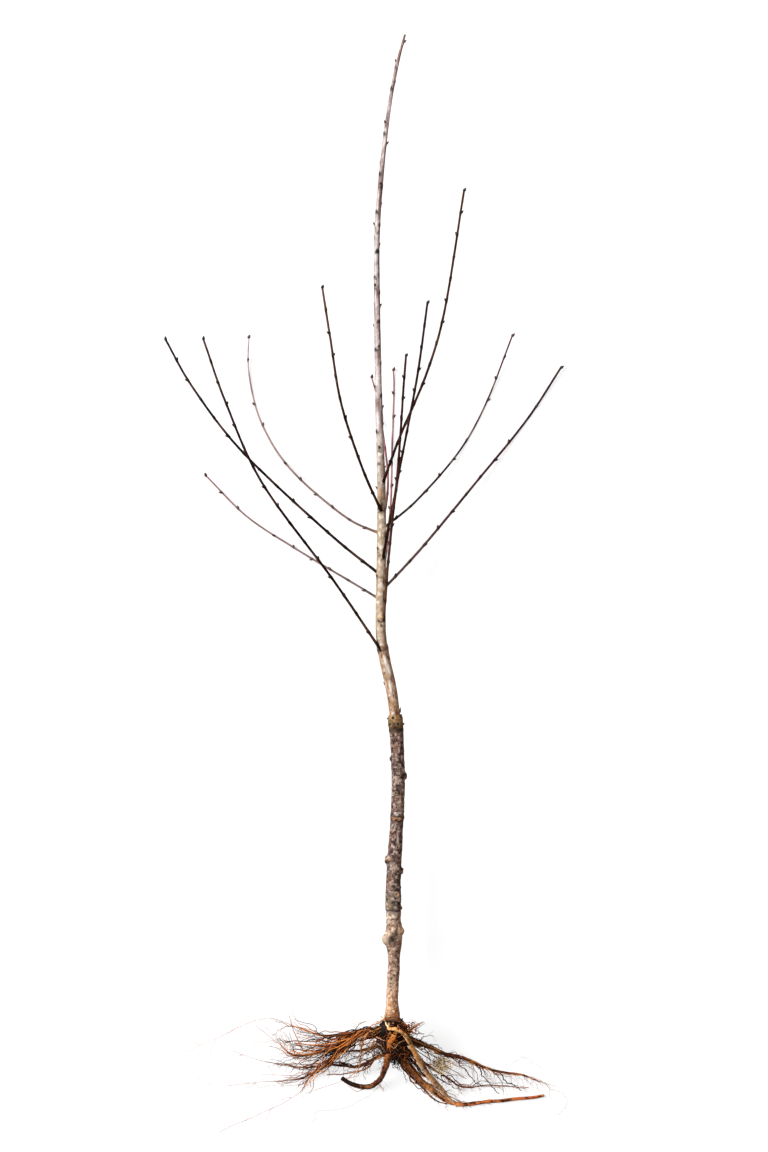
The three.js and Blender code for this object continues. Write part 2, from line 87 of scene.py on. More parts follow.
# Knots on the stem, balls sunk in it: [along the stem, degrees round it from +X towards +Z, radius]
# and, where it isn't KNOT_SINK, how deep as a share of the radius.
CROWN_KNOTS = [
    [-16, 165, 15], [-42, 185, 18], [-54, 150, 14], [-18, 20, 11], [-36, 345, 13], [-54, 20, 9],
    [-30, 265, 12],
]
UNION_KNOTS = [[143, 8, 10, 0.65], [129, 172, 12, 0.5], [136, 95, 9], [134, 265, 9]]
HEALED_KNOTS = [
    [216, 95, 5], [243, 12, 7], [260, 178, 8], [300, 250, 5], [329, 80, 7], [399, 0, 6.2], [428, 180, 4.5],
]
LEADER_KNOTS = [[662, 84, 4.6], [773, 88, 4.4]]
PRUNING_STUBS = [[484 + 11 * (k % 2), 10 + 360 * k / 11, 2.4] for k in range(11)]  # dormant buds
KNOT_SINK = 0.35
KNOT_SKIRT = 0.46  # how high the bark is drawn up round a knot, as a share of the height of the knot

# A shoot leaves the stem at `start`, `out` to the side of its middle line and `up` from it, and passes
# through [sideways, along, clearance under it]. Its tones go from its foot through its middle to its tip.
DARK_SHOOT = dict(thick=2.3, thin=1.8, collar=0.9, slot="dark_shoot_bark")
PALE_SHOOT = dict(thick=2, thin=1.3, collar=1.6, slot="pale_shoot_bark")
SHOOTS = {
    "shoot_left_lowest": dict(
        DARK_SHOOT, start=606, out=-3, up=5, tones=["#30190f", "#1c0805", "#2c1414", "#4a2a2a"],
        via=[[-96, 724, 122], [-210, 880, 165], [-269, 1010, 185], [-306, 1115, 196]]),
    "shoot_left_longest": dict(
        DARK_SHOOT, start=730, tones=["#301d15", "#1e0d0f", "#1c1012", "#2c1c20"],
        via=[[-105, 802, 104], [-244, 933, 116], [-326, 1039, 114], [-371, 1118, 108]]),
    "shoot_left_floor": dict(
        PALE_SHOOT, start=690, tones=["#3a2820", "#8c7472", "#a06c68"],
        via=[[-72, 723, 45], [-161, 776, 6], [-241, 829, 0], [-308, 896, 8]]),
    "shoot_left_bowed": dict(
        PALE_SHOOT, start=798, tones=["#5a4434", "#ac8f88", "#e2bac0"],
        via=[[-78, 829, 40], [-169, 909, 4], [-218, 989, 0], [-237, 1069, 3], [-237, 1126, 12]]),
    "shoot_left_upright": dict(
        DARK_SHOOT, start=837, out=-1, up=5, tones=["#28130d", "#32190f", "#6a4636"],
        via=[[-47, 906, 150], [-81, 1009, 220], [-98, 1111, 270], [-111, 1194, 300]]),
    "shoot_right_tallest": dict(
        DARK_SHOOT, start=884, out=3, up=4, tones=["#1e0a06", "#34150f", "#402014", "#54301a"],
        via=[[15, 959, 130], [59, 1063, 175], [88, 1166, 210], [118, 1353, 262]]),
    "shoot_right_floor": dict(
        PALE_SHOOT, start=806, tones=["#402a24", "#38221e", "#5c1c1e"],
        via=[[43, 855, 40], [113, 936, 4], [158, 1016, 0], [202, 1129, 14]]),
    "shoot_right_longest": dict(
        DARK_SHOOT, thick=2.2, start=703, tones=["#7c625e", "#542c30", "#2e1e1e"],
        via=[[51, 776, 50], [139, 882, 14], [226, 989, 0], [283, 1076, 6]]),
    "shoot_raised_tall": dict(
        DARK_SHOOT, start=656, out=5, up=5, tones=["#6a442e", "#30100b", "#2c1a18"],
        via=[[-4, 760, 150], [8, 869, 235], [24, 955, 290], [43, 1057, 335], [58, 1166, 365]]),
    "shoot_raised_short": dict(
        DARK_SHOOT, start=759, out=3, up=5, tones=["#240f08", "#38140e", "#381410"],
        via=[[-4, 811, 122], [8, 873, 165], [15, 957, 215], [20, 1034, 260], [24, 1085, 285]]),
    "shoot_under_left": dict(
        PALE_SHOOT, start=800, tones=["#8f5654", "#b06a6c", "#c48a8e"],
        via=[[-5, 884, 35], [-14, 973, 8], [-23, 1026, 0], [-32, 1060, 6]]),
    "shoot_under_right": dict(
        PALE_SHOOT, start=704, tones=["#9a5a60", "#a86c72", "#a87078"],
        via=[[-7, 777, 45], [0, 856, 18], [2, 944, 2], [5, 1038, 0], [4, 1072, 3]]),
}
COLLAR_FALL = 40  # how fast the collar at a shoot's foot narrows to the shoot
POINT_TIP = 0.2  # how thick a pointed limb's end is left, as a share of its radius
BUD = {"spacing": 36, "radius": 2.1, "length": 7, "forward": 0.76, "outward": 0.6, "seat": 0.55}
LEADER_BUDS = {"count": 27, "first": 740, "last": 1608}
GOLDEN_ANGLE = math.pi * (3 - math.sqrt(5))  # the turn from one bud or rootlet to the next

# The kinds of thin roots, from dark ones near the crown to the palest hairs.
DARK, UMBER, MAROON, RUST = "#180a05", "#4c1e0a", "#7e3218", "#b45e28"
ORANGE, PALE, FAINT = "#e29450", "#f2cc98", "#dcb2a4"
KIND_NAMES = {
    DARK: "dark", UMBER: "umber", MAROON: "maroon", RUST: "rust", ORANGE: "orange", PALE: "pale",
    FAINT: "faint",
}

# A root leaves the crown at `start`, `out` to the side of the stem's middle line, and passes through
# [sideways, along, clearance under it]. `rootlets` of them leave it, in the colour `kind`, and `reach` is
# the length of the longest. `beside` strands run along it and part from it by `spread`. Its tones go from
# its foot to its tip. From `fade` on, a share of its length, it is a faint hair. Where they aren't 1, one
# key sets how strong its darks are, painted shade in the hollows of its knobs and its own dark streaks,
# and `ridges` how strong its bright streaks are.
ROOTS = {
    "root_right_thick": dict(
        start=-44, out=4, thick=6.6, thin=2.6, rootlets=4, reach=45, cut="#c59a62", hollow_shade_and_streaks=1.5,
        tones=["#cc7438", "#bc6830", "#c88c5c", "#b86c42", "#c86c38", "#bc5e34"],
        kind=RUST, beside=2, spread=6,
        via=[[17, -68, 62], [43, -107, 26], [65, -125, 12], [86, -142, 3], [110, -151, 0],
             [139, -152, 0], [178, -146, 0], [254, -138, 0]]),
    "root_right_upper": dict(
        start=-28, out=10, thick=4.6, thin=0.5, rootlets=16, reach=85, droop=[0.25, -1.1, -0.35],
        tones=["#2a1208", "#40200e", "#5a2c14", "#a05a30", "#c8845c"],
        kind=MAROON, beside=3, spread=5, fade=0.86,
        via=[[37, -37, 76], [78, -56, 56], [130, -74, 38], [167, -92, 22], [214, -99, 8], [250, -112, 1],
             [274, -120, 0]],
        forks=[[[115, -70, 42], [119, -85, 34], [140, -109, 16], [153, -119, 8]],
               [[147, -82, 31], [153, -100, 20], [168, -119, 8], [183, -135, 0]],
               [[178, -94, 18], [192, -108, 12], [205, -120, 4], [222, -126, 0]]]),
    "root_left_core": dict(
        start=-26, out=-10, thick=6, thin=0.5, taper=1.7, rootlets=14, reach=85,
        tones=["#241208", "#341a0c", "#6a3818", "#a85a2a", "#b8683a"],
        kind=DARK, beside=9, spread=16, fade=0.82,
        via=[[-57, -37, 58], [-103, -58, 30], [-160, -70, 14], [-188, -49, 16], [-226, -18, 18]]),
    "root_loop": dict(
        start=-10, out=4, thick=6, thin=3.4, rootlets=3, reach=40, cut="#17100c", ridges=0.4,
        tones=["#fcae58", "#c86e2c", "#8a481e", "#4a220e", "#2a1308", "#1c0d06"],
        kind=RUST, beside=2, spread=8,
        via=[[9, -23, 94], [0, -42, 94], [-3, -63, 80], [-9, -88, 52], [-15, -105, 26], [-28, -118, 8],
             [-46, -122, 0], [-65, -118, 0], [-80, -106, 0]]),
    "root_left_top": dict(
        start=-14, out=-8, thick=3.8, thin=0.4, taper=2.2, rootlets=14, reach=70,
        tones=["#5a2a10", "#7a3c18", "#a05420", "#b0683e", "#be9575"],
        kind=RUST, beside=4, spread=16, fade=0.56,
        via=[[-41, -21, 84], [-109, -35, 56], [-149, -23, 50], [-212, -6, 40], [-299, -44, 22],
             [-348, -65, 8]],
        forks=[[[-109, -35, 57], [-126, -41, 46], [-175, -43, 36], [-189, -40, 32]]]),
    "root_left_middle": dict(
        start=-52, out=-6, thick=4.2, thin=0.4, taper=1.3, rootlets=8, reach=50,
        tones=["#7a4420", "#5a3018", "#6a3a1c", "#a8603c", "#c08468"],
        kind=DARK, beside=3, spread=12, fade=0.78,
        via=[[-21, -68, 56], [-57, -87, 12], [-100, -85, 0], [-153, -90, 0], [-227, -76, 0],
             [-265, -61, 0]]),
    "root_left_low": dict(
        start=-22, out=-12, thick=3.2, thin=0.4, taper=1.7, rootlets=8, reach=55,
        tones=["#8e4a20", "#a45826", "#a8643a", "#b8805c"], kind=MAROON, beside=4, spread=14, fade=0.62,
        via=[[-52, -32, 76], [-92, -67, 42], [-134, -106, 8], [-157, -134, 0], [-215, -165, 0],
             [-287, -198, 0]]),
    "root_left_far": dict(
        start=-30, out=-12, thick=4, thin=0.4, taper=1.4, rootlets=8, reach=60,
        tones=["#965626", "#8a4a22", "#5a2a1c", "#4a2018", "#6a3830"],
        kind=RUST, beside=4, spread=14, fade=0.8,
        via=[[-50, -36, 60], [-70, -50, 42], [-98, -74, 20], [-128, -96, 8], [-160, -109, 0],
             [-216, -114, 0], [-272, -121, 0]]),
    "root_left_upper": dict(
        start=-18, out=-12, thick=2.8, thin=0.8, rootlets=6, reach=55,
        tones=["#603418", "#b46428", "#c06c30"], kind=RUST, beside=5, spread=16,
        via=[[-40, -26, 72], [-72, -36, 60], [-111, -50, 46], [-160, -48, 34]]),
    "root_left_thin": dict(
        start=-54, out=-2, thick=1.8, thin=0.8, rootlets=2, reach=40,
        tones=["#905020", "#a86030", "#bc7840"], kind=RUST, beside=1, spread=8,
        via=[[-26, -72, 40], [-40, -90, 16], [-69, -100, 2], [-108, -102, 0]]),
    "root_left_pale": dict(
        start=-10, out=-6, thick=1.1, thin=0.5, rootlets=2, reach=45,
        tones=["#e8a058", "#d89050", "#e4b080"], kind=PALE, beside=2, spread=12, fade=0.8,
        via=[[-24, -19, 98], [-40, -26, 98], [-50, -58, 66], [-53, -88, 32], [-79, -110, 4],
             [-143, -134, 0]]),
    "root_front_pale": dict(
        start=-2, out=-4, thick=1.4, thin=4.8, taper=2, pointed=0.2, rootlets=2, reach=40,
        cut="#e6b880", hollow_shade_and_streaks=0.8,
        tones=["#fce0b0", "#f4b474", "#ecaa64", "#e8ac74", "#f2c496"], kind=PALE, beside=1, spread=6,
        via=[[-4, -16, 110], [9, -16, 116], [24, -26, 108], [39, -57, 84], [56, -87, 54], [82, -122, 22],
             [110, -156, 4]]),
    "root_right_middle": dict(
        start=-46, out=12, thick=2.6, thin=0.6, rootlets=9, reach=55,
        tones=["#a85a32", "#964c2a", "#b06a46"], kind=MAROON, beside=3, spread=10,
        via=[[50, -75, 48], [75, -95, 30], [97, -107, 20], [120, -122, 10], [164, -120, 2],
             [229, -125, 0]]),
    "root_right_dark": dict(
        start=-36, out=8, thick=4, thin=1, rootlets=6, reach=50,
        tones=["#20120a", "#2c160c", "#603418"], kind=DARK, beside=5, spread=10,
        via=[[24, -54, 74], [35, -72, 56], [52, -94, 36], [68, -108, 26]]),
    "root_right_under": dict(
        start=-50, out=0, thick=2.6, thin=0.8, rootlets=3, reach=45,
        tones=["#4e2a14", "#361e14", "#40281c"], kind=DARK, beside=3, spread=6,
        via=[[16, -80, 28], [36, -108, 6], [54, -125, 0], [68, -139, 0], [80, -147, 0], [93, -151, 0]]),
    "root_right_top": dict(
        start=-12, out=6, thick=2.4, thin=0.8, rootlets=5, reach=30,
        tones=["#b4682c", "#d48840", "#cc8c50"], kind=RUST, beside=5, spread=10,
        via=[[24, -24, 88], [38, -15, 92], [50, -8, 92]]),
    "root_under_left": dict(
        start=-34, out=-6, thick=4.6, thin=0.8, rootlets=5, reach=50,
        tones=["#3c200e", "#5e3218", "#905428"], kind=DARK, beside=3, spread=12,
        via=[[-14, -44, 38], [-34, -58, 10], [-62, -64, 0], [-104, -62, 0]]),
    "root_under_right": dict(
        start=-34, out=6, thick=5, thin=0.8, rootlets=6, reach=55,
        tones=["#3c200e", "#5e3218", "#905428"], kind=DARK, beside=3, spread=12,
        via=[[26, -44, 36], [57, -52, 10], [86, -64, 0], [109, -70, 0], [129, -78, 0]]),
}
ROOTLET = {"steps": 3, "first": 0.16, "last": 0.92}
FORK = {"thick": 1.1, "thin": 0.5}
ROOTLET_LEAN = 0.6
ROOTLET_STRAY = 0.9
ROOTLET_FALL = 0.6
ROOTLET_DROOP = [0, -0.35, -0.15]
NO_FADE = 1.2  # a share beyond a root's tip
CROWN_FIBRES = {"count": 240, "first": -62, "last": -4, "reach": 22, "back": 14, "seed": 70}

# ---------------------------------------------------------------- colours

SHADED_SIDE_TINT = np.array([0.35, 0.05, -0.12])  # painted shade: how much redder, greener and bluer the stem's right side, away from the light, is made
STUDIO_LIGHT = 1.6  # how much brighter than its base colour a surface that faces the light looks


def linear(code):
    """A #rrggbb colour seen in the studio's bright light, as the base colour that shows so in it."""
    values = np.array([int(code[i:i + 2], 16) / 255 for i in (1, 3, 5)])
    return np.where(values <= 0.04045, values / 12.92, ((values + 0.055) / 1.055) ** 2.4) / STUDIO_LIGHT


# The bark's colour along the stem: [along the stem, colour]. Under the root crown, up to -4, it is near
# black: dark soil with painted shade.
TRUNK_TONES = [
    [-70, "#200f07"], [-30, "#160b06"], [-4, "#1a0e08"], [1, "#8a5230"], [14, "#bc7e4e"], [28, "#c8946c"],
    [42, "#c8a084"], [75, "#b08c74"], [100, "#a5846f"], [118, "#a07d6a"], [150, "#ae8b72"],
    [158, "#b69c88"], [173, "#a79486"], [179, "#6a574a"], [192, "#806a5a"], [205, "#70574c"],
    [260, "#6b5249"], [320, "#6a5047"], [340, "#6f564a"], [440, "#6c5147"], [470, "#65493b"],
    [477, "#5a4432"], [482, "#70502f"], [490, "#856239"], [498, "#997148"],
]
LEADER_TONES = [
    [494, "#a07a4e"], [501, "#94704a"], [504, "#ac8460"], [540, "#b8916e"], [604, "#b49172"],
    [611, "#8c6a4c"], [625, "#b49c82"], [760, "#b09a82"], [845, "#ae9a80"], [858, "#b48a62"],
    [872, "#b3a08c"], [1000, "#bfb2ad"], [1200, "#c2b5b3"], [1400, "#bdadac"], [1500, "#b0989a"],
    [1620, "#7a4a44"],
]
# The same of the leader's flanks and underside, on its left and on its right: painted shade, browner and
# darker than its top where the light falls off, and darkest on the upper right.
LEFT_FLANK_SHADE = [
    [500, "#a8713f"], [604, "#b07a48"], [625, "#ab8c66"], [860, "#a98a68"], [960, "#aa9994"],
    [1200, "#a89a98"], [1620, "#6b4038"],
]
RIGHT_FLANK_SHADE = [
    [500, "#a87c58"], [604, "#a67a5a"], [625, "#967c5a"], [860, "#947c5a"], [960, "#6c5048"],
    [1200, "#5c4040"], [1620, "#4e2c28"],
]


def clamp(values):
    return np.clip(values, 0, 1)


def bell(*offsets):
    """1 where every offset is 0, falling smoothly to near 0 where one reaches 2."""
    return np.exp(-sum(offset ** 2 for offset in offsets))


def mix(low, high, share):
    """Colours between low and high, by a share from 0 to 1 at each point."""
    share = clamp(share)[..., None]
    return np.asarray(low) * (1 - share) + np.asarray(high) * share


def paint(tones, colour, share):
    """Tones with a #rrggbb colour laid over them, by a share from 0 to 1 at each point."""
    return mix(tones, linear(colour), share)


def tones_along(table, s):
    """The colours of a table at s, mixed between its rows [s, colour]."""
    places = [row[0] for row in table]
    colours = np.array([linear(row[1]) for row in table])
    return np.stack([np.interp(s, places, colours[:, i]) for i in range(3)], axis=-1)


# ---------------------------------------------------------------- curves


def unit(vectors):
    return vectors / np.maximum(np.linalg.norm(vectors, axis=-1, keepdims=True), 1e-9)


def along(table, s):
    """The values of a table at s, on a smooth curve through its rows [s, value, value, ...]."""
    rows = np.array(table, float)
    high_row = np.clip(np.searchsorted(rows[:, 0], s), 1, len(rows) - 1)
    before = rows[np.maximum(high_row - 2, 0)]
    low = rows[high_row - 1]
    high = rows[high_row]
    after = rows[np.minimum(high_row + 1, len(rows) - 1)]
    span = high[..., :1] - low[..., :1]
    t = (np.asarray(s, float)[..., None] - low[..., :1]) / span
    start = (high - before)[..., 1:] / (high - before)[..., :1] * span
    end = (after - low)[..., 1:] / (after - low)[..., :1] * span
    rise = (high - low)[..., 1:]
    return low[..., 1:] + t * (start + t * (3 * rise - 2 * start - end + t * (start + end - 2 * rise)))


def stem_point(s):
    sideways_and_height = along(STEM_LINE, s)
    return np.stack([sideways_and_height[..., 0], np.asarray(s, float), sideways_and_height[..., 1]], -1)


def stem_heading(s):
    s = np.asarray(s, float)
    return unit(stem_point(s + 1) - stem_point(s - 1))


def across(heading):
    """Two directions across a heading: sideways along the floor, and up from it."""
    sideways = np.cross(heading, [0.0, 0.0, 1.0])
    upright = np.linalg.norm(sideways, axis=-1, keepdims=True) < 1e-3
    sideways = unit(np.where(upright, [1.0, 0.0, 0.0], sideways))
    return sideways, unit(np.cross(sideways, heading))


def outward(heading, angle):
    sideways, upward = across(heading)
    angle = np.asarray(angle, float)[..., None]
    return np.cos(angle) * sideways + np.sin(angle) * upward


def spline(points, t):
    """Points at t, from 0 to 1, on smooth curves through many rows of points: (lines, points, 3)."""
    points = np.asarray(points, float)
    last = points.shape[1] - 1
    row = np.clip(np.floor(np.asarray(t) * last).astype(int), 0, last - 1)
    share = (np.asarray(t) * last - row)[None, :, None]
    first_point = 2 * points[:, :1] - points[:, 1:2]
    last_point = 2 * points[:, -1:] - points[:, -2:-1]
    extended = np.concatenate([first_point, points, last_point], axis=1)
    before, low, high, after = (extended[:, row + k] for k in range(4))
    start = (high - before) / 2
    end = (after - low) / 2
    rise = high - low
    return low + share * (start + share * (3 * rise - 2 * start - end + share * (start + end - 2 * rise)))


class Limb:
    """A limb's middle line and thickness. Its waypoints give the clearance under it."""

    def __init__(self, waypoints, thick, thin, taper=1, collar=0, pointed=0):
        self.waypoints = np.array([waypoints], float)
        self.thick, self.thin, self.taper = thick, thin, taper
        self.collar, self.pointed = collar, pointed
        self.shares = np.linspace(0, 1, 201)
        strides = np.linalg.norm(np.diff(self.point(self.shares), axis=0), axis=-1)
        self.walked = np.concatenate([[0], np.cumsum(strides)])
        self.length = self.walked[-1]

    def radius(self, t):
        narrowing = (self.thick - self.thin) * (1 - t) ** self.taper
        pointing = np.minimum(1, POINT_TIP + (1 - t) / self.pointed) if self.pointed else 1
        return (self.thin + narrowing) * pointing + self.collar * np.exp(-t * COLLAR_FALL)

    def point(self, t):
        t = np.atleast_1d(t)
        points = spline(self.waypoints, t)[0]
        points[:, 2] = np.maximum(points[:, 2], 0) + self.radius(t)
        return points

    def heading(self, t):
        t = np.atleast_1d(t)
        return unit(self.point(np.minimum(t + 1e-4, 1)) - self.point(np.maximum(t - 1e-4, 0)))

    def share_at(self, length):
        """The t that lies a length along the limb."""
        return np.interp(length, self.walked, self.shares)


def limb_from_stem(size):
    """A limb that starts inside the stem, from its row of SHOOTS or ROOTS."""
    base = stem_point(size["start"])
    foot = [base[0] + size.get("out", 0), base[1], base[2] + size.get("up", 0) - size["thick"]]
    thickness = {key: size[key] for key in ("thick", "thin", "taper", "collar", "pointed") if key in size}
    return Limb([foot, *size["via"]], **thickness)


def seeded(seed):
    """Numbers between 0 and 1 that are the same on every run."""
    state = seed

    def imul(a, b):
        return (a * b) & 0xFFFFFFFF

    def draw():
        nonlocal state
        state = (state + 0x6D2B79F5) & 0xFFFFFFFF
        mixed = imul(state ^ (state >> 15), 1 | state)
        mixed = ((mixed + imul(mixed ^ (mixed >> 7), 61 | mixed)) & 0xFFFFFFFF) ^ mixed
        return (mixed ^ (mixed >> 14)) / 4294967296

    return draw


# ---------------------------------------------------------------- relief


def angles_of(sides):
    """The angles of a limb's sides round it, as a row."""
    return math.tau / sides * np.arange(sides)[None]


def ripple(s, angle, length, cells, seed):
    """Smooth bumps from -1 to 1 on a limb's skin: each is `length` long, with `cells` of them round it."""
    u = s / length
    v = angle / math.tau * cells
    row = np.floor(u).astype(int)
    column = np.floor(v).astype(int)
    lowest = row.min()
    heights = np.random.default_rng(seed).uniform(-1, 1, (row.max() - lowest + 2, cells))
    fall = u - row
    turn = v - column
    fall = fall * fall * (3 - 2 * fall)
    turn = turn * turn * (3 - 2 * turn)
    row = row - lowest
    low = heights[row, column % cells] * (1 - turn) + heights[row, (column + 1) % cells] * turn
    high = heights[row + 1, column % cells] * (1 - turn) + heights[row + 1, (column + 1) % cells] * turn
    return low * (1 - fall) + high * fall


def within(s, start, end, soft):
    """1 between start and end, falling to 0 over `soft` beyond each."""
    return clamp((s - start) / soft + 0.5) * clamp((end - s) / soft + 0.5)


# ---------------------------------------------------------------- meshes


def carried_frames(paths):
    """Directions across each path that turn as little as they can from ring to ring."""
    headings = unit(np.gradient(paths, axis=1))
    sideways = np.empty_like(headings)
    sideways[:, 0] = across(headings[:, 0])[0]
    for ring in range(1, paths.shape[1]):
        carried = sideways[:, ring - 1]
        lean = np.sum(carried * headings[:, ring], axis=-1, keepdims=True)
        sideways[:, ring] = unit(carried - lean * headings[:, ring])
    return sideways, unit(np.cross(sideways, headings))


def tube_mesh(paths, radii, tones, frames=None):
    """Closed tubes round many lines, as vertices, triangles and a colour for each vertex.

    paths is (lines, rings, 3), radii (lines, rings, sides) and tones (lines, rings, sides, 3). Each line
    has its rings' vertices first and then its two ends.
    """
    lines, rings, sides = radii.shape
    sideways, upward = frames or carried_frames(paths)
    angle = angles_of(sides).T
    spokes = np.cos(angle) * sideways[:, :, None] + np.sin(angle) * upward[:, :, None]
    skin = paths[:, :, None] + radii[..., None] * spokes
    vertices = np.concatenate([skin.reshape(lines, -1, 3), paths[:, [0, -1]]], axis=1)
    colours = np.concatenate([tones.reshape(lines, -1, 3), tones[:, [0, -1]].mean(axis=2)], axis=1)

    here = np.arange(sides)
    after = (here + 1) % sides
    rows = np.arange(rings - 1)[:, None] * sides
    foot, tip = rings * sides, rings * sides + 1
    last = (rings - 1) * sides
    triangles = np.concatenate([
        np.stack([rows + here, rows + here + sides, rows + after], -1).reshape(-1, 3),
        np.stack([rows + after, rows + here + sides, rows + after + sides], -1).reshape(-1, 3),
        np.stack(np.broadcast_arrays(foot, here, after), -1),
        np.stack(np.broadcast_arrays(tip, last + after, last + here), -1),
    ])
    offsets = np.arange(lines)[:, None, None] * vertices.shape[1]
    return vertices.reshape(-1, 3), (triangles + offsets).reshape(-1, 3), colours.reshape(-1, 3)


def piece(name, meshes, material, slot, stands_for=None):
    """A smooth piece made of (vertices, triangles, colours) meshes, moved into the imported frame."""
    starts = np.cumsum([0] + [len(vertices) for vertices, _, _ in meshes])
    vertices = np.concatenate([vertices for vertices, _, _ in meshes]) / 1000 + COLLAR
    vertices[:, 2] = np.maximum(vertices[:, 2], 0)
    triangles = np.concatenate([faces + start for (_, faces, _), start in zip(meshes, starts)])
    tones = np.concatenate([colours for _, _, colours in meshes])
    tones = np.column_stack([tones, np.ones(len(tones))])
    mesh = bpy.data.meshes.new(name)
    mesh.vertices.add(len(vertices))
    mesh.vertices.foreach_set("co", vertices.astype(np.float32).ravel())
    mesh.loops.add(triangles.size)
    mesh.loops.foreach_set("vertex_index", triangles.astype(np.int32).ravel())
    mesh.polygons.add(len(triangles))
    mesh.polygons.foreach_set("loop_start", np.arange(0, triangles.size, 3, dtype=np.int32))
    mesh.polygons.foreach_set("use_smooth", np.ones(len(triangles), bool))
    attribute = mesh.attributes.new("bark_tone", "FLOAT_COLOR", "POINT")
    attribute.data.foreach_set("color", tones.astype(np.float32).ravel())
    mesh.update(calc_edges=True)
    mesh.materials.append(material)
    made = bpy.data.objects.new(name, mesh)
    bpy.context.collection.objects.link(made)
    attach(made, "root")
    if stands_for:
        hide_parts(stands_for)


# ---------------------------------------------------------------- materials


def bark_material(name, grain, contrast, roughness, relief, stretch=1.0, specular=0.25):
    """Bark that takes its tone from the mesh and adds grain, fine relief and uneven gloss.

    `grain` is the size of the grain in millimetres, and `stretch` lengthens it along the stem.
    """
    material = bpy.data.materials.new(name)
    material.use_nodes = True
    nodes = material.node_tree.nodes
    links = material.node_tree.links
    shader = nodes["Principled BSDF"]
    place = nodes.new("ShaderNodeTexCoord")
    scaling = nodes.new("ShaderNodeMapping")
    scaling.inputs["Scale"].default_value = (1, 1 / stretch, 1)
    links.new(place.outputs["Object"], scaling.inputs["Vector"])
    tone = nodes.new("ShaderNodeAttribute")
    tone.attribute_name = "bark_tone"

    def noise(size, detail):
        texture = nodes.new("ShaderNodeTexNoise")
        texture.inputs["Scale"].default_value = 1000 / size
        texture.inputs["Detail"].default_value = detail
        texture.inputs["Roughness"].default_value = 0.6
        links.new(scaling.outputs["Vector"], texture.inputs["Vector"])
        return texture

    def spread(texture, low, high):
        ranged = nodes.new("ShaderNodeMapRange")
        ranged.inputs["From Min"].default_value = 0.3
        ranged.inputs["From Max"].default_value = 0.7
        ranged.inputs["To Min"].default_value = low
        ranged.inputs["To Max"].default_value = high
        links.new(texture.outputs["Fac"], ranged.inputs["Value"])
        return ranged

    shade = spread(noise(grain, 5), 1 - contrast, 1 + contrast)
    shaded = nodes.new("ShaderNodeVectorMath")
    shaded.operation = "SCALE"
    links.new(tone.outputs["Color"], shaded.inputs[0])
    links.new(shade.outputs["Result"], shaded.inputs["Scale"])
    links.new(shaded.outputs["Vector"], shader.inputs["Base Color"])

    gloss = spread(noise(grain * 4, 3), roughness - 0.12, roughness + 0.1)
    links.new(gloss.outputs["Result"], shader.inputs["Roughness"])

    bump = nodes.new("ShaderNodeBump")
    bump.inputs["Strength"].default_value = 0.7
    bump.inputs["Distance"].default_value = relief / 1000
    links.new(noise(grain * 1.6, 6).outputs["Fac"], bump.inputs["Height"])
    links.new(bump.outputs["Normal"], shader.inputs["Normal"])
    shader.inputs["Specular IOR Level"].default_value = specular
    return material


OLD_BARK = bark_material("old_bark_scaly", grain=2.2, contrast=0.35, roughness=0.85, relief=0.5)
YOUNG_BARK = bark_material(
    "young_bark_smooth", grain=1.6, contrast=0.22, roughness=0.55, relief=0.2, stretch=2.5)
SHOOT_BARK = bark_material(
    "shoot_bark", grain=1.2, contrast=0.2, roughness=0.6, relief=0.12, stretch=3, specular=0.04)
BUD_SCALES = bark_material("bud_scales", grain=0.9, contrast=0.25, roughness=0.5, relief=0.15)
ROOT_BARK = bark_material(
    "root_bark_wrinkled", grain=1.6, contrast=0.35, roughness=0.7, relief=0.4, specular=0.1)
FINE_ROOT = bark_material(
    "fine_root_bark", grain=1.4, contrast=0.3, roughness=0.7, relief=0.1, specular=0.1)

# ---------------------------------------------------------------- camera and studio

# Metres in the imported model. The camera looks straight down, and its frame spans the photograph's height
# at the height of the stem.
LENS_CENTRE = COLLAR + np.array([-0.01155, 0.7293, 0])
CAMERA_HEIGHT = 9.0
STEM_HEIGHT = 0.095
PHOTO_HEIGHT = 1.9008
SENSOR_WIDTH = 36  # millimetres, as the lens

KEY_PLACE = (-3.4, 1.0, 3.8)
KEY_SIZE = 3.4
KEY_POWER = 640
SKY_STRENGTH = 0.2
FLOOR_HALF = 12
# The floor glows a little, so that it looks white where the light falls off.
FLOOR_SHADE = 0.22
FLOOR_GLOW = 0.78

scene = bpy.context.scene
scene.view_settings.view_transform = "Standard"

camera_data = bpy.data.cameras.new("camera")
camera_data.sensor_width = SENSOR_WIDTH
camera_data.lens = SENSOR_WIDTH / 2 / (PHOTO_HEIGHT / 2 / (CAMERA_HEIGHT - STEM_HEIGHT))
camera = bpy.data.objects.new("camera", camera_data)
camera.location = (LENS_CENTRE[0], LENS_CENTRE[1], CAMERA_HEIGHT)
scene.collection.objects.link(camera)
bpy.context.scene.camera = camera

key_data = bpy.data.lights.new("key", "AREA")
key_data.shape = "DISK"
key_data.size = KEY_SIZE
key_data.energy = KEY_POWER
key = bpy.data.objects.new("key", key_data)
key.location = KEY_PLACE
key.rotation_euler = (-Vector(KEY_PLACE)).to_track_quat("-Z", "Y").to_euler()
scene.collection.objects.link(key)

world = bpy.data.worlds.new("studio")
world.use_nodes = True
world.node_tree.nodes["Background"].inputs["Color"].default_value = (1, 1, 1, 1)
world.node_tree.nodes["Background"].inputs["Strength"].default_value = SKY_STRENGTH
scene.world = world

floor_material = bpy.data.materials.new("floor_white")
floor_material.use_nodes = True
floor_look = {
    "Base Color": (FLOOR_SHADE, FLOOR_SHADE, FLOOR_SHADE, 1), "Roughness": 1.0, "Specular IOR Level": 0.0,
    "Emission Color": (1, 1, 1, 1), "Emission Strength": FLOOR_GLOW,
}
for socket, value in floor_look.items():
    floor_material.node_tree.nodes["Principled BSDF"].inputs[socket].default_value = value

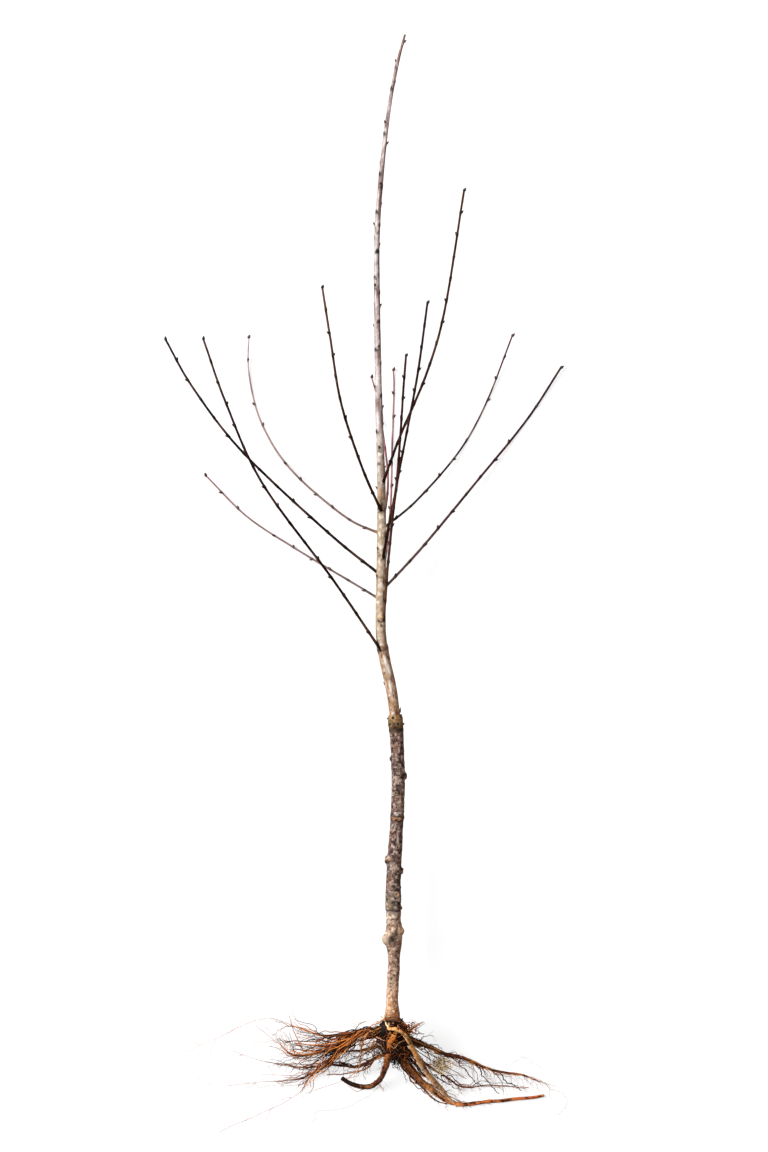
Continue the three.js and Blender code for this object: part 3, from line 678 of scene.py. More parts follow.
floor_corners = [(x * FLOOR_HALF, y * FLOOR_HALF, 0) for x, y in ((-1, -1), (1, -1), (1, 1), (-1, 1))]
floor_mesh = bpy.data.meshes.new("floor")
floor_mesh.from_pydata(floor_corners, [], [(0, 1, 2, 3)])
floor_mesh.materials.append(floor_material)
floor = bpy.data.objects.new("floor", floor_mesh)
scene.collection.objects.link(floor)

# ---------------------------------------------------------------- skin of the stem


class Skin:
    """A stem's skin while it is worked on: its grid, and the radius and the tone of each point.

    s runs along the stem and angle round it. The last number that ripple, speckle and spots take is a seed.
    """

    def __init__(self, girth, first, last, ring_spacing, sides, tones):
        self.s = np.linspace(first, last, round((last - first) / ring_spacing) + 1)[:, None]
        self.angle = angles_of(sides)
        self.girth = girth
        self.radius = along(girth, self.s)[..., 0] + 0 * self.angle
        self.tones = self.tones_along(tones)

    def tones_along(self, table):
        return tones_along(table, self.s + 0 * self.angle)

    def paint(self, colour, share):
        self.tones = paint(self.tones, colour, share)

    def within(self, start, end, soft):
        return within(self.s, start, end, soft)

    def ripple(self, length, cells, seed):
        return ripple(self.s, self.angle, length, cells, seed)

    def speckle(self, length, cells, seed):
        """Broken bark from -1 to 1: bumps of one size, with smaller ones on them."""
        fine = self.ripple(length / 2.1, round(cells * 2.1), seed + 1000)
        return 0.65 * self.ripple(length, cells, seed) + 0.55 * fine

    def spot(self, spot_s, degrees):
        """How far each point lies from a spot on the skin: along it, and round it."""
        turn = (self.angle - math.radians(degrees) + math.pi) % math.tau - math.pi
        return self.s - spot_s, turn * float(along(self.girth, spot_s)[..., 0])

    def spots(self, count, first, last, half_length, half_width, seed):
        """A field that is 1 in the middle of each of many small seeded spots."""
        random = np.random.default_rng(seed)
        field = np.zeros(self.radius.shape)
        for _ in range(count):
            spot_s = random.uniform(first, last)
            size = random.uniform(0.6, 1.3)
            lengthwise, round_it = self.spot(spot_s, random.uniform(0, 360))
            spot = bell(lengthwise / (half_length * size), round_it / (half_width * size))
            field = np.maximum(field, spot)
        return field

    def knots(self, knots):
        """How far knots stand out of the skin, in millimetres, at each point."""
        relief = np.zeros(self.radius.shape)
        for spot_s, degrees, radius, *sink in knots:
            sink = sink[0] if sink else KNOT_SINK
            lengthwise, round_it = self.spot(spot_s, degrees)
            squared = lengthwise ** 2 + round_it ** 2
            dome = np.sqrt(np.maximum(radius ** 2 - squared, 0)) - sink * radius
            skirt = KNOT_SKIRT * (1 - sink) * radius * np.exp(-squared / radius ** 2)
            relief = np.maximum(relief, np.maximum(dome, skirt))
        return relief

    def scar(self, spot_s, degrees, radius):
        """The raised lip and the pit of a small round scar, each from 0 to 1."""
        distance = np.hypot(*self.spot(spot_s, degrees))
        return bell((distance - radius) / (0.38 * radius)), bell(distance / (0.6 * radius))

    def mesh(self):
        """The skin's mesh. Its bark is tinted redder on its right side, away from the light, as painted
        shade.
        """
        # Painted shade: the right side, away from the light, is tinted redder.
        redder = clamp(np.cos(self.angle) - 0.1)[..., None]
        tones = self.tones * (1 + redder * SHADED_SIDE_TINT)
        rings = self.s[:, 0]
        frames = [side[None] for side in across(stem_heading(rings))]
        return tube_mesh(stem_point(rings)[None], self.radius[None], tones[None], frames)


# ---------------------------------------------------------------- trunk

# The graft union's hollows, darkened with painted shade, the deeper the darker: [along, degrees, half
# length, half width, depth, colour].
UNION_SHADED_HOLLOWS = [
    [131, 98, 8, 4.5, 3.4, "#2f221c"], [124, 82, 7, 3, 1.6, "#5b463a"], [138, 78, 3, 5, 1.2, "#5b463a"],
    [127, 122, 4, 2.2, 1.2, "#4b382e"], [148, 60, 6, 2.5, 0.9, "#86705f"],
]
# Its cream pads: [along, degrees, radius].
UNION_PADS = [[129, 150, 5.5], [139, 118, 4], [144, 40, 5], [133, 55, 4]]
# Scars of small side shoots: [along, degrees, radius, colour].
SHOOT_SCARS = [
    [64.5, 110, 4.6, "#20140f"], [57, 112, 3, "#2c1d17"], [51.6, 106, 2.4, "#4b3226"],
    [88, 70, 1.8, "#5a4438"], [204, 60, 3.4, "#d09a66"], [371, 110, 2.2, "#17110e"],
    [298, 110, 2.6, "#3a2b26"], [452, 74, 2.6, "#4a3930"], [347, 96, 2.4, "#2e211c"],
    [233, 118, 2.6, "#8a4f33"], [410, 84, 2, "#3a2b26"], [282, 70, 2.2, "#33261f"],
]
EYE_SCAR = [217, 90, 4.6]  # a black one on a healed knot
# Patches of other bark: [along, degrees, half length, half width, colour].
BARK_PATCHES = [
    [224, 128, 9, 4, "#86543c"], [247, 95, 7, 3, "#c7ab90"], [262, 150, 2.6, 7, "#cfa888"],
    [296, 75, 7, 1.6, "#d5c8bd"], [352, 70, 9, 2, "#b9a595"], [440, 100, 9, 3, "#95705c"],
    [205, 100, 5, 3, "#8e7d6c"],
]
TRUNK_RING_SPACING = 1.0
TRUNK_SIDES = 96
GRAFT_SEAM = 176.6  # where along the trunk the graft's own bark begins
DOUBLE_SCAR = 328.5  # where along it the orange double scar is


def break_old_bark(skin, old):
    """Plates with dark cracks between them, and pale, brown and dark flecks."""
    plates = np.abs(skin.ripple(13, 7, 5) + 0.45 * skin.ripple(5, 16, 6))
    crack = bell(plates / 0.09) * old
    rough = skin.speckle(4.4, 15, 7)
    skin.radius += old * 0.4 * rough - 0.5 * crack
    skin.paint("#bfaca0", old * clamp(rough - 0.12) * 1.8)
    skin.paint("#8a5f4c", old * clamp(skin.ripple(18, 5, 8) - 0.2) * 0.7)
    skin.paint("#2a1716", old * clamp(-rough - 0.15) * 2.2)
    skin.paint("#241a18", 0.7 * crack)


def speckle_young_bark(skin):
    """The lower stretch is speckled, with a warm stain at the collar."""
    young = skin.within(8, 172, 10)
    collar = skin.within(2, 60, 16)
    mottle = skin.speckle(3.7, 15, 9)
    skin.paint("#e6ceb8", young * clamp(mottle - 0.12) * 1.9)
    skin.paint("#57392b", young * (1 - 0.7 * collar) * clamp(-mottle - 0.12) * 2.1)
    net = np.abs(skin.ripple(5, 11, 19))
    skin.paint("#553a2d", young * bell(net / 0.1) * 0.6 * (1 - 0.6 * collar))
    skin.radius += 0.3 * young * mottle
    stain = skin.within(-5, 26, 20) * clamp(0.3 + 0.8 * skin.ripple(8, 7, 10))
    skin.paint("#9a5a2c", 0.6 * stain)
    flecks = skin.speckle(3, 18, 32)
    skin.paint("#84482a", collar * clamp(-flecks - 0.15) * 1.6)
    skin.paint("#f0cfa6", collar * clamp(flecks - 0.2) * 1.4)
    skin.radius += 0.25 * collar * flecks


def mark_union(skin, union, lumps, grain):
    """The graft union: cream pads round a hollow darkened with painted shade, browner below it."""
    skin.paint("#dbbda0", union * clamp(lumps + 0.4 * grain - 0.1) * 1.1)
    skin.paint("#6d5344", skin.within(112, 132, 8) * clamp(0.4 + grain) * 0.7)
    for spot_s, degrees, length, width, depth, colour in UNION_SHADED_HOLLOWS:
        lengthwise, round_it = skin.spot(spot_s, degrees)
        crooked = lengthwise + 0.5 * round_it + 1.5 * lumps
        hollow = bell(crooked / length, (round_it + 0.8 * grain) / width)
        skin.radius -= depth * hollow
        # Painted shade: each hollow takes its dark colour.
        skin.paint(colour, 1.2 * hollow)
    for spot_s, degrees, size in UNION_PADS:
        lengthwise, round_it = skin.spot(spot_s, degrees)
        pad = np.exp(-(np.hypot(lengthwise, round_it) / size) ** 4)
        skin.radius += 0.9 * pad
        skin.paint("#d9c3a6", 0.6 * pad)


def mark_seam(skin, lumps, grain):
    """The black crack where the graft's bark begins, and its knobbly lip."""
    seam = bell((skin.s - GRAFT_SEAM - 1.1 * skin.ripple(40, 6, 11)) / 1.5)
    lip = skin.within(179, 194, 5)
    skin.radius += 0.7 * lip * (lumps + 0.5 * grain) - 1.3 * seam
    skin.paint("#8b7e6e", lip * clamp(skin.ripple(9, 6, 16)) * 0.9)
    skin.paint("#b89a78", lip * clamp(grain - 0.1) * 1.2)
    skin.paint("#1a1310", lip * clamp(-lumps - 0.5 * grain - 0.2) * 1.3)
    skin.paint("#1d1512", 1.1 * seam * (0.75 + 0.4 * skin.ripple(30, 7, 12)))


def mark_scars(skin, grain):
    """Scars of small side shoots and of healed knots, and patches of other bark."""
    for spot_s, degrees, size, colour in SHOOT_SCARS:
        lip, pit = skin.scar(spot_s, degrees, size)
        skin.radius += 0.6 * lip - 1.0 * pit
        skin.paint("#c0a68c", 0.5 * lip)
        skin.paint(colour, pit)
    for spot_s, degrees, size in HEALED_KNOTS:
        lip, pit = skin.scar(spot_s, degrees, 0.62 * size)
        skin.radius += 0.5 * lip - 0.8 * pit
        skin.paint("#c2987a", 0.85 * pit)
        # The dark round each healed knot's rim is its bark's colour deepened with painted shadow of the
        # knot.
        skin.paint("#231915", 0.75 * lip * (1 - pit))
    lip, pit = skin.scar(*EYE_SCAR)
    skin.radius += 0.8 * lip - 1.6 * pit
    skin.paint("#9c8676", 0.8 * lip)
    skin.paint("#120d0b", 1.3 * pit ** 1.5)
    for spot_s, degrees, length, width, colour in BARK_PATCHES:
        lengthwise, round_it = skin.spot(spot_s, degrees)
        patch = bell((lengthwise + grain) / length, (round_it + grain) / width)
        skin.paint(colour, 0.8 * patch * clamp(1 + 0.8 * grain))


def mark_double_scar(skin, grain):
    """The orange double scar of old buds, with a white line above it."""
    lengthwise, round_it = skin.spot(DOUBLE_SCAR, 90)
    for side in (5.4, -3.2):
        oval = np.hypot(lengthwise / 3.4, (round_it - side) / 4.6)
        skin.radius += 0.7 * bell((oval - 1) / 0.3) - 0.6 * bell(oval / 0.6)
        skin.paint("#ac6a32", 1.1 * np.exp(-(oval / 0.8) ** 4))
        skin.paint("#20140f", 0.95 * bell((oval - 1.1) / 0.25))
    band = skin.within(324, 333, 2.5) * clamp(0.4 + skin.ripple(12, 9, 13))
    skin.paint("#5a2f1a", 0.6 * band * (np.abs(round_it) > 8))
    white_line = skin.within(335, 339, 1.6) * within(round_it, -9, 6, 4) * (grain > 0)
    skin.paint("#e6dcd0", 0.9 * white_line)


def mark_pruning_ring(skin, lumps, grain):
    """The warm pruning ring, dark along its lower edge, with its black stubs."""
    ring = skin.within(476, 500, 5)
    skin.radius += 0.5 * ring * lumps
    skin.paint("#c4a47c", ring * clamp(grain) * 0.7)
    skin.paint("#4f341c", ring * clamp(0.1 - lumps - 0.4 * grain) * 1.6)
    skin.paint("#20140e", skin.within(472, 481, 4) * clamp(0.75 + grain))
    for spot_s, degrees, _ in PRUNING_STUBS:
        lengthwise, round_it = skin.spot(spot_s + 1, degrees)
        distance = np.hypot(lengthwise, round_it)
        skin.paint("#c8a878", 0.25 * bell(distance - 3.4))
        skin.paint("#0f0b09", 1.8 * np.exp(-(distance / 2.2) ** 4))


def make_trunk():
    """The trunk's bark."""
    skin = Skin(TRUNK_GIRTH, TRUNK_FOOT, TRUNK_TOP, TRUNK_RING_SPACING, TRUNK_SIDES, TRUNK_TONES)
    crown = skin.within(-80, 2, 14)
    union = skin.within(112, 158, 12)
    old = skin.within(178, 470, 4)

    skin.radius += skin.knots(CROWN_KNOTS + UNION_KNOTS + HEALED_KNOTS + PRUNING_STUBS)
    broad = skin.ripple(26, 4, 1)
    lumps = skin.ripple(9, 8, 2)
    grain = skin.speckle(4.2, 15, 3)
    fine = skin.ripple(2.1, 34, 4)
    skin.radius += 0.35 * broad + (0.25 + 1.2 * crown + 0.45 * union) * lumps
    skin.radius += (0.15 + 0.6 * crown + 0.2 * union) * grain + (0.1 + 0.1 * old) * fine

    break_old_bark(skin, old)
    speckle_young_bark(skin)
    mark_union(skin, union, lumps, grain)
    mark_seam(skin, lumps, grain)
    mark_scars(skin, grain)
    mark_double_scar(skin, grain)
    mark_pruning_ring(skin, lumps, grain)

    pale = skin.spots(70, 186, 466, 0.8, 2.4, 14) * old
    skin.radius += 0.25 * pale
    skin.paint("#d3c3b4", 0.8 * pale)
    dark = skin.spots(90, 186, 466, 1.5, 1.2, 15) * old
    skin.paint("#17110f", 0.85 * dark)

    # The root crown: near black in its hollows, dark soil deepened with painted shade, rusty on its lumps.
    skin.paint("#7b431d", crown * clamp(lumps - 0.3) * 0.5)
    skin.paint("#170e09", crown * clamp(-grain - 0.1) * 0.8)
    piece("trunk_bark", [skin.mesh()], OLD_BARK, "old_bark", "trunk")


# ---------------------------------------------------------------- buds


def bud_mesh(centre, pointing, length, radius, tones):
    """A scaly pointed bud: its lines run from foot to tip, and each scale's edge stands out a little."""
    share = np.linspace(0, 1, 10)
    sides = 10
    belly = np.sin(math.pi * share ** 0.62) ** 0.8 * (1 - 0.25 * share)
    scales = 1 + 0.1 * np.sin(math.tau * (3 * share[:, None] + np.arange(sides)[None] / sides * 2))
    widths = np.maximum(radius * belly[:, None] * scales, 0.12)
    path = (centre + np.outer(share * length, pointing))[None]
    foot, tip = linear(tones[0]), linear(tones[1])
    colours = mix(foot, tip, np.repeat(share[:, None], sides, 1) * (0.6 + 0.4 * (scales - 0.9) * 5))
    return tube_mesh(path, widths[None], colours[None])


def bud_on(centre, heading, spoke, seat, tones, size=1.0):
    pointing = unit(BUD["forward"] * heading + BUD["outward"] * spoke)
    foot = centre + spoke * seat - pointing * BUD["length"] * size * 0.16
    return bud_mesh(foot, pointing, BUD["length"] * size, BUD["radius"] * size, tones)


def limb_buds(limb, tones):
    """Buds climb a limb in a spiral. One that the floor would crush is left out."""
    made = []
    places = []
    count = math.floor(limb.length / BUD["spacing"])
    for k in range(1, count):
        length = limb.length * k / count
        t = limb.share_at(length)
        heading = limb.heading(t)[0]
        spoke = outward(heading, k * GOLDEN_ANGLE)
        here = limb.point(t)[0]
        radius = limb.radius(t)
        if here[2] + spoke[2] * BUD["length"] > radius:
            made.append(bud_on(here, heading, spoke, radius * BUD["seat"], tones))
            places.append(length)
    heading = limb.heading(1)[0]
    made.append(bud_on(limb.point(1)[0], heading, outward(heading, 1), 0, tones, 1.35))
    return made, places


DARK_BUD = ["#120b09", "#2e1e19"]
PALE_BUD = ["#3a2222", "#6d4643"]
LEADER_BUD = ["#33201a", "#6d5246"]
STUB_BUD = ["#0a0706", "#120d0a"]
THORN = ["#6a4a30", "#0c0807"]

# ---------------------------------------------------------------- leader

# Black crevices and pale knobs on the leader: [along, degrees, half length, half width, colour, height].
LEADER_MARKS = [
    [655, 112, 2.6, 2.4, "#1b110c", -0.5], [656, 44, 2.6, 3.4, "#150d09", -0.6],
    [648, 80, 2.6, 1.8, "#2a1b13", -0.4], [662, 66, 4, 3, "#ad7d50", 1.2],
    [664, 104, 3, 2.6, "#cdb492", 0.6], [651, 60, 1.8, 2.4, "#dcc6a4", 0.5],
    [690, 50, 26, 1.2, "#4a3420", -0.3], [727, 96, 1.5, 5.5, "#8a6a48", -0.3],
    [722, 52, 7, 1.5, "#4b3522", -0.4], [729, 150, 3, 2.6, "#17100c", -0.4],
    [709, 48, 3.2, 1.8, "#f0e2c8", 0.4], [703, 44, 2, 1.6, "#20150f", -0.3],
    [763, 118, 1.6, 3, "#6a4a2c", -0.3], [762, 58, 3.4, 3, "#19110c", -0.5],
    [760, 28, 3.6, 1.8, "#2c1d14", -0.3], [840, 140, 2.4, 2.2, "#17100c", -0.5],
    [838, 72, 1.8, 4.4, "#6a4526", -0.4], [844, 40, 2, 2, "#8a6238", 0.3],
    [807, 30, 3.4, 3, "#f2e4ca", 0.8], [799, 26, 2.4, 2, "#3a2a1c", -0.3],
    [866, 112, 6, 3.4, "#b8906a", 0.2], [607, 150, 3.6, 3, "#140d09", -0.4],
    [606, 96, 1.4, 6, "#6a4a30", -0.2], [609, 34, 2.6, 2.6, "#2c1c12", -0.3],
    [598, 134, 3.4, 1.6, "#ab7a4c", 0.3], [600, 112, 5, 1.4, "#7d5233", -0.2],
    [574, 70, 9, 2, "#efe6de", 0.1], [590, 88, 8, 2.2, "#f2ece4", 0.1],
    [546, 96, 10, 1.8, "#eadfd8", 0.1], [560, 66, 4, 1.4, "#7a4a44", -0.2],
]
# Nodes of the upper leader, dark scars on a swelling: [along, degrees, half length, half width, colour].
LEADER_NODES = [
    [915, 120, 2, 3, "#7a5a50"], [968, 150, 3, 3.4, "#2a1814"], [1027, 40, 3.4, 3, "#3a2420"],
    [1081, 20, 2.4, 2.6, "#4a302a"], [1103, 140, 2.6, 4, "#2c1712"], [1149, 60, 2.4, 3.4, "#4a3028"],
    [1178, 165, 2, 2.6, "#8a7470"], [1197, 15, 2.4, 3, "#33201c"], [1221, 140, 3, 3.4, "#1c100e"],
    [1264, 80, 3.4, 3.4, "#1a0f0d"], [1287, 165, 2, 2.6, "#8a7470"], [1308, 25, 2.4, 3, "#33201c"],
    [1329, 140, 3, 3.4, "#140b09"], [1371, 40, 3.4, 3, "#1a0f0d"], [1391, 145, 3.4, 3, "#160c0a"],
    [1457, 150, 3.2, 3, "#1c0f0d"], [1531, 140, 3.4, 3, "#2c1714"], [1566, 150, 2.4, 2.4, "#6a4a44"],
]
LEADER_RING = 611  # where along the leader a brown ring runs round it
LEADER_RING_SPACING = 1.5
LEADER_SIDES = 56
# Thorn-like dead buds: [along, degrees, length, radius].
THORNS = [[502, 4, 11, 1.5], [550, 178, 8, 1.2]]


def make_leader(feet):
    """The leader's bark. `feet` are the places where shoots leave it: [along, degrees, radius, dark]."""
    first = TRUNK_TOP - 1  # just inside the trunk
    skin = Skin(LEADER_GIRTH, first, LEADER_TIP, LEADER_RING_SPACING, LEADER_SIDES, LEADER_TONES)
    skin.radius += skin.knots(LEADER_KNOTS)
    slim = along(LEADER_GIRTH, skin.s)[..., 0] / 9
    broad = skin.ripple(30, 3, 21)
    lumps = skin.ripple(9, 7, 22)
    fine = skin.ripple(4, 16, 23)
    skin.radius += slim * (0.3 * broad + 0.16 * lumps + 0.07 * fine)

    # Painted shade: pale on its lit top, browner and darker on its flanks and underside, and on the upper
    # leader darker on its right side, away from the light.
    flank = clamp((0.86 - np.sin(skin.angle) + 0.22 * lumps) / 0.4)
    upper = skin.within(940, 1640, 80)
    flank = np.maximum(flank, upper * clamp((np.cos(skin.angle) - 0.45 + 0.2 * lumps) / 0.3))
    left, right = skin.tones_along(LEFT_FLANK_SHADE), skin.tones_along(RIGHT_FLANK_SHADE)
    flank_tones = mix(left, right, 0.5 + 2 * np.cos(skin.angle))
    skin.tones = mix(skin.tones, flank_tones, (0.75 + 0.15 * upper) * flank)

    dapple = skin.speckle(7, 9, 30)
    low = skin.within(496, 900, 30)
    lowest = skin.within(500, 612, 8)
    # The bark's pale flecks are laid mostly on the top, where they are partly painted highlight.
    skin.paint("#ece2d6", clamp(dapple - 0.1) * (1 - 0.7 * flank) * 1.2)
    skin.paint("#75604a", clamp(-dapple - 0.15) * 1.1)
    skin.paint("#7a6844", low * clamp(skin.ripple(45, 4, 24) - 0.25))
    # The whitish streaks are likewise kept mostly to the top: bark marks that are partly painted highlight.
    streaks = skin.within(524, 606, 12) * clamp(skin.ripple(24, 15, 25) - 0.15) * (1 - 0.6 * flank)
    skin.paint("#ece2da", 1.7 * streaks)
    skin.paint("#6a3d2a", lowest * clamp(-skin.speckle(5, 15, 31) - 0.12) * 2)
    high = skin.within(900, 1640, 120)
    skin.paint("#744e4c", high * clamp(skin.ripple(26, 5, 26) - 0.1) * 1.1)
    skin.paint("#e4dcdd", high * clamp(skin.ripple(34, 6, 27) - 0.2) * 1.1)
    for spot_s, degrees, length, width, colour in LEADER_NODES:
        lengthwise, round_it = skin.spot(spot_s, degrees)
        node = bell((lengthwise + 0.15 * round_it ** 2) / length, round_it / width)
        skin.radius += 0.7 * bell(np.hypot(lengthwise / 5, round_it / 4))
        skin.paint("#d8cdc8", 0.5 * bell((lengthwise - 6) / 3, round_it / 4))
        skin.paint(colour, 2.2 * node)
    marks = skin.spots(130, 505, 1500, 0.7, 1.4, 28)
    skin.paint("#e4d9cc", 0.5 * marks)
    ring = bell((skin.s - LEADER_RING) / 2.2)
    skin.radius += 0.25 * ring * skin.ripple(3, 12, 29)
    skin.paint("#6d5036", 0.7 * ring)

    # Each shoot stands on a pad of the leader's bark, with a dark crease under it.
    for spot_s, degrees, size, dark in feet:
        lengthwise, round_it = skin.spot(spot_s + 3, degrees)
        distance = np.hypot(lengthwise / 1.5, round_it)
        skin.radius += 1.3 * bell(distance / size)
        skin.paint("#d2b48c", 0.6 * bell(distance / size))
        crease = np.exp(-((lengthwise + size + 1 + 0.1 * round_it ** 2) / 1.3) ** 2 - (round_it / 5) ** 4)
        skin.radius -= 0.4 * crease
        skin.paint("#2a1b13" if dark else "#7a5a3c", 0.95 * crease)
    for spot_s, degrees, length, width, colour, height in LEADER_MARKS:
        lengthwise, round_it = skin.spot(spot_s, degrees)
        mark = bell(lengthwise / length, round_it / width)
        skin.radius += height * mark
        skin.paint(colour, 1.25 * mark)

    buds = []
    for k in range(LEADER_BUDS["count"]):
        share = k / (LEADER_BUDS["count"] - 1)
        bud_s = LEADER_BUDS["first"] + share * (LEADER_BUDS["last"] - LEADER_BUDS["first"])
        turn = k * GOLDEN_ANGLE
        girth = along(LEADER_GIRTH, bud_s)[0]
        heading = stem_heading(bud_s)
        buds.append(bud_on(stem_point(bud_s), heading, outward(heading, turn), girth * 0.92, LEADER_BUD))
        lengthwise, round_it = skin.spot(bud_s - 1.5, math.degrees(turn))
        cushion = bell(np.hypot(lengthwise, round_it) / 3.2)
        crease = np.exp(-((lengthwise + 3.6 + 0.12 * round_it ** 2) / 1.1) ** 2 - (round_it / 4.5) ** 4)
        skin.radius += 0.8 * cushion - 0.2 * crease
        skin.paint("#6d4a3e", 0.7 * cushion)
        skin.paint("#3a2820", 0.8 * crease)
    for spot_s, degrees, length, thick in THORNS:
        heading = stem_heading(spot_s)
        spoke = outward(heading, math.radians(degrees))
        foot = stem_point(spot_s) + spoke * along(LEADER_GIRTH, spot_s)[0] * 0.97
        buds.append(bud_mesh(foot, unit(heading + 0.22 * spoke), length, thick, THORN))
    for spot_s, degrees, thick in PRUNING_STUBS:
        spoke = outward(stem_heading(spot_s), math.radians(degrees))
        foot = stem_point(spot_s) + spoke * (along(TRUNK_GIRTH, spot_s)[0] - 0.4)
        buds.append(bud_mesh(foot, spoke, 1.2 * thick, 0.72 * thick, STUB_BUD))
    piece("leader_bark", [skin.mesh()], YOUNG_BARK, "young_bark", "leader")
    piece("leader_buds", buds, BUD_SCALES, "young_bark")


# ---------------------------------------------------------------- shoots

SHOOT_RING_SPACING = 2
SHOOT_SIDES = 14


def tones_of(names, t):
    """Colours evenly spaced from foot to tip, at t from 0 to 1."""
    return tones_along([[k / (len(names) - 1), name] for k, name in enumerate(names)], t)


def make_shoots():
    """The shoots' bark and buds. Gives the places where they leave the leader, for make_leader."""
    feet = []
    buds = {"dark_shoot_bark": [], "pale_shoot_bark": []}
    for number, (name, size) in enumerate(SHOOTS.items()):
        limb = limb_from_stem(size)
        dark = size["slot"] == "dark_shoot_bark"
        made, places = limb_buds(limb, DARK_BUD if dark else PALE_BUD)
        buds[size["slot"]].extend(made)

        lengths = np.linspace(0, limb.length, round(limb.length / SHOOT_RING_SPACING))
        t = limb.share_at(lengths)
        angle = angles_of(SHOOT_SIDES)
        swelling = sum(bell((lengths - place) / 3.5) for place in places)
        radius = limb.radius(t) * (1 + 0.2 * swelling)
        grain = ripple(lengths[:, None], angle, 7, 5, 40 + number)
        radius = radius[:, None] * (1 + 0.06 * grain)
        patch = ripple(lengths[:, None], angle, 24, 3, 60 + number)
        tones = tones_of(size["tones"], t[:, None] + 0 * angle)
        tones = paint(tones, "#8a5a48" if dark else "#d9c3bb", clamp(patch - 0.3) * 0.5)
        tones = paint(tones, "#1a0806" if dark else "#5c383a", clamp(-patch - 0.2) * 0.8)
        tones = paint(tones, "#1b0c09", (0.6 * swelling)[:, None] + 0 * angle)
        foot = bell(lengths / 14)[:, None] + 0 * angle
        tones = paint(tones, "#140c09" if dark else "#a98560", 0.8 * foot)
        mesh = tube_mesh(limb.point(t)[None], radius[None], tones[None])
        piece(name + "_bark", [mesh], SHOOT_BARK, size["slot"], name)

        first = limb.heading(limb.share_at(14))[0]
        sideways, upward = across(stem_heading(size["start"]))
        degrees = math.degrees(math.atan2(first @ upward, first @ sideways))
        feet.append([size["start"], degrees, 4.2, dark])
    piece("dark_buds", buds["dark_shoot_bark"], BUD_SCALES, "dark_shoot_bark")
    piece("pale_buds", buds["pale_shoot_bark"], BUD_SCALES, "pale_shoot_bark")
    return feet


# ---------------------------------------------------------------- roots

ROOT_RING_SPACING = 1.5
ROOT_SIDES = 18


def wander(paths, size, seed, waves=3):
    """Paths that sway a little from side to side, but not at their feet."""
    random = np.random.default_rng(seed)
    lines, rings, _ = paths.shape
    t = np.linspace(0, 1, rings)[None, :, None]
    swayed = paths.copy()
    for wave in range(1, waves + 1):
        phase = random.uniform(0, math.tau, (lines, 1, 3))
        turns = random.uniform(0.8, 1.6, (lines, 1, 3)) * wave * 1.6
        swing = np.sin(math.tau * turns * t + phase) - np.sin(phase)
        swayed += size / wave * swing * np.minimum(4 * t, 1)
    return swayed


def rootlet_waypoints(limb, count, reach, droop, seed):
    """The rule for rootlets: a spiral up the root, shorter towards its tip, leaning, straying, drooping."""
    random = seeded(seed)
    lines = []
    feet = []
    for k in range(count):
        share = (k + random()) / count
        t = ROOTLET["first"] + (ROOTLET["last"] - ROOTLET["first"]) * share
        heading = limb.heading(t)[0]
        spoke = outward(heading, k * GOLDEN_ANGLE + random())
        heading = unit(heading + ROOTLET_LEAN * spoke)
        stride = reach * (1.1 - 0.6 * t) * (0.4 + 0.6 * random()) / ROOTLET["steps"]
        here = limb.point(t)[0]
        points = [here.copy()]
        for _ in range(ROOTLET["steps"]):
            stray = np.array([random() - 0.5, random() - 0.5, random() - 0.5])
            heading = unit(heading + ROOTLET_STRAY * stray + ROOTLET_FALL * np.array(droop))
            here = here + heading * stride
            points.append(here.copy())
        lines.append(points)
        feet.append(t)
    return np.array(lines), np.array(feet)


def sprout(paths, count, reach, droop, seed, steps=8, lean=0.5, stray=0.55):
    """Finer roots from each of many paths, by the rootlets' rule."""
    random = np.random.default_rng(seed)
    lines, rings, _ = paths.shape
    parent = np.repeat(np.arange(lines), count)
    number = np.tile(np.arange(count), lines)
    share = 0.1 + 0.86 * (number + random.random(lines * count)) / count
    place = share * (rings - 1)
    ring = np.minimum(place.astype(int), rings - 2)
    part = (place - ring)[:, None]
    here = paths[parent, ring] * (1 - part) + paths[parent, ring + 1] * part
    heading = unit(paths[parent, ring + 1] - paths[parent, ring])
    spoke = outward(heading, number * GOLDEN_ANGLE + 6.3 * random.random(lines * count))
    heading = unit(heading + lean * spoke)
    stride = reach * (1.1 - 0.6 * share) * (0.4 + 0.6 * random.random(lines * count)) / steps
    points = [here]
    for _ in range(steps):
        strays = random.random((lines * count, 3)) - 0.5
        heading = unit(heading + stray * strays + ROOTLET_FALL * np.array(droop) * 2 / steps)
        here = here + heading * stride[:, None]
        points.append(here)
    return np.stack(points, axis=1)


def companions(limb, count, last, seed, spread):
    """Strands that run along a root, no further than a last share of it, and part from it slowly."""
    random = np.random.default_rng(seed)
    start = random.uniform(0.0, 0.5, (count, 1)) * last
    end = np.minimum(start + random.uniform(0.3, 0.7, (count, 1)), last)
    share = np.linspace(0, 1, 12)[None]
    t = start + (end - start) * share
    centre = limb.point(t.ravel())
    turn = random.uniform(0, math.tau, (count, 1)) + random.uniform(-1.5, 1.5, (count, 1)) * share
    away = limb.radius(t) * 0.7 + random.uniform(0.2, 1, (count, 1)) * spread * share ** 1.5
    spoke = outward(limb.heading(t.ravel()), turn.ravel())
    return (centre + spoke * away.reshape(-1, 1)).reshape(count, 12, 3)


def rested(paths, radius):
    """Paths that lie on the floor where they would go under it."""
    rested_paths = paths.copy()
    rested_paths[..., 2] = np.maximum(rested_paths[..., 2], radius)
    return rested_paths


def in_reach(paths):
    """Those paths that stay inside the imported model's box, with a little to spare."""
    low, high = (np.array(corner) * 1000 for corner in cad_box)
    placed = paths + COLLAR * 1000
    inside = (placed > low - [8, 8, 1000]) & (placed < high + [8, 8, 0])
    return paths[inside.all(axis=(1, 2))]


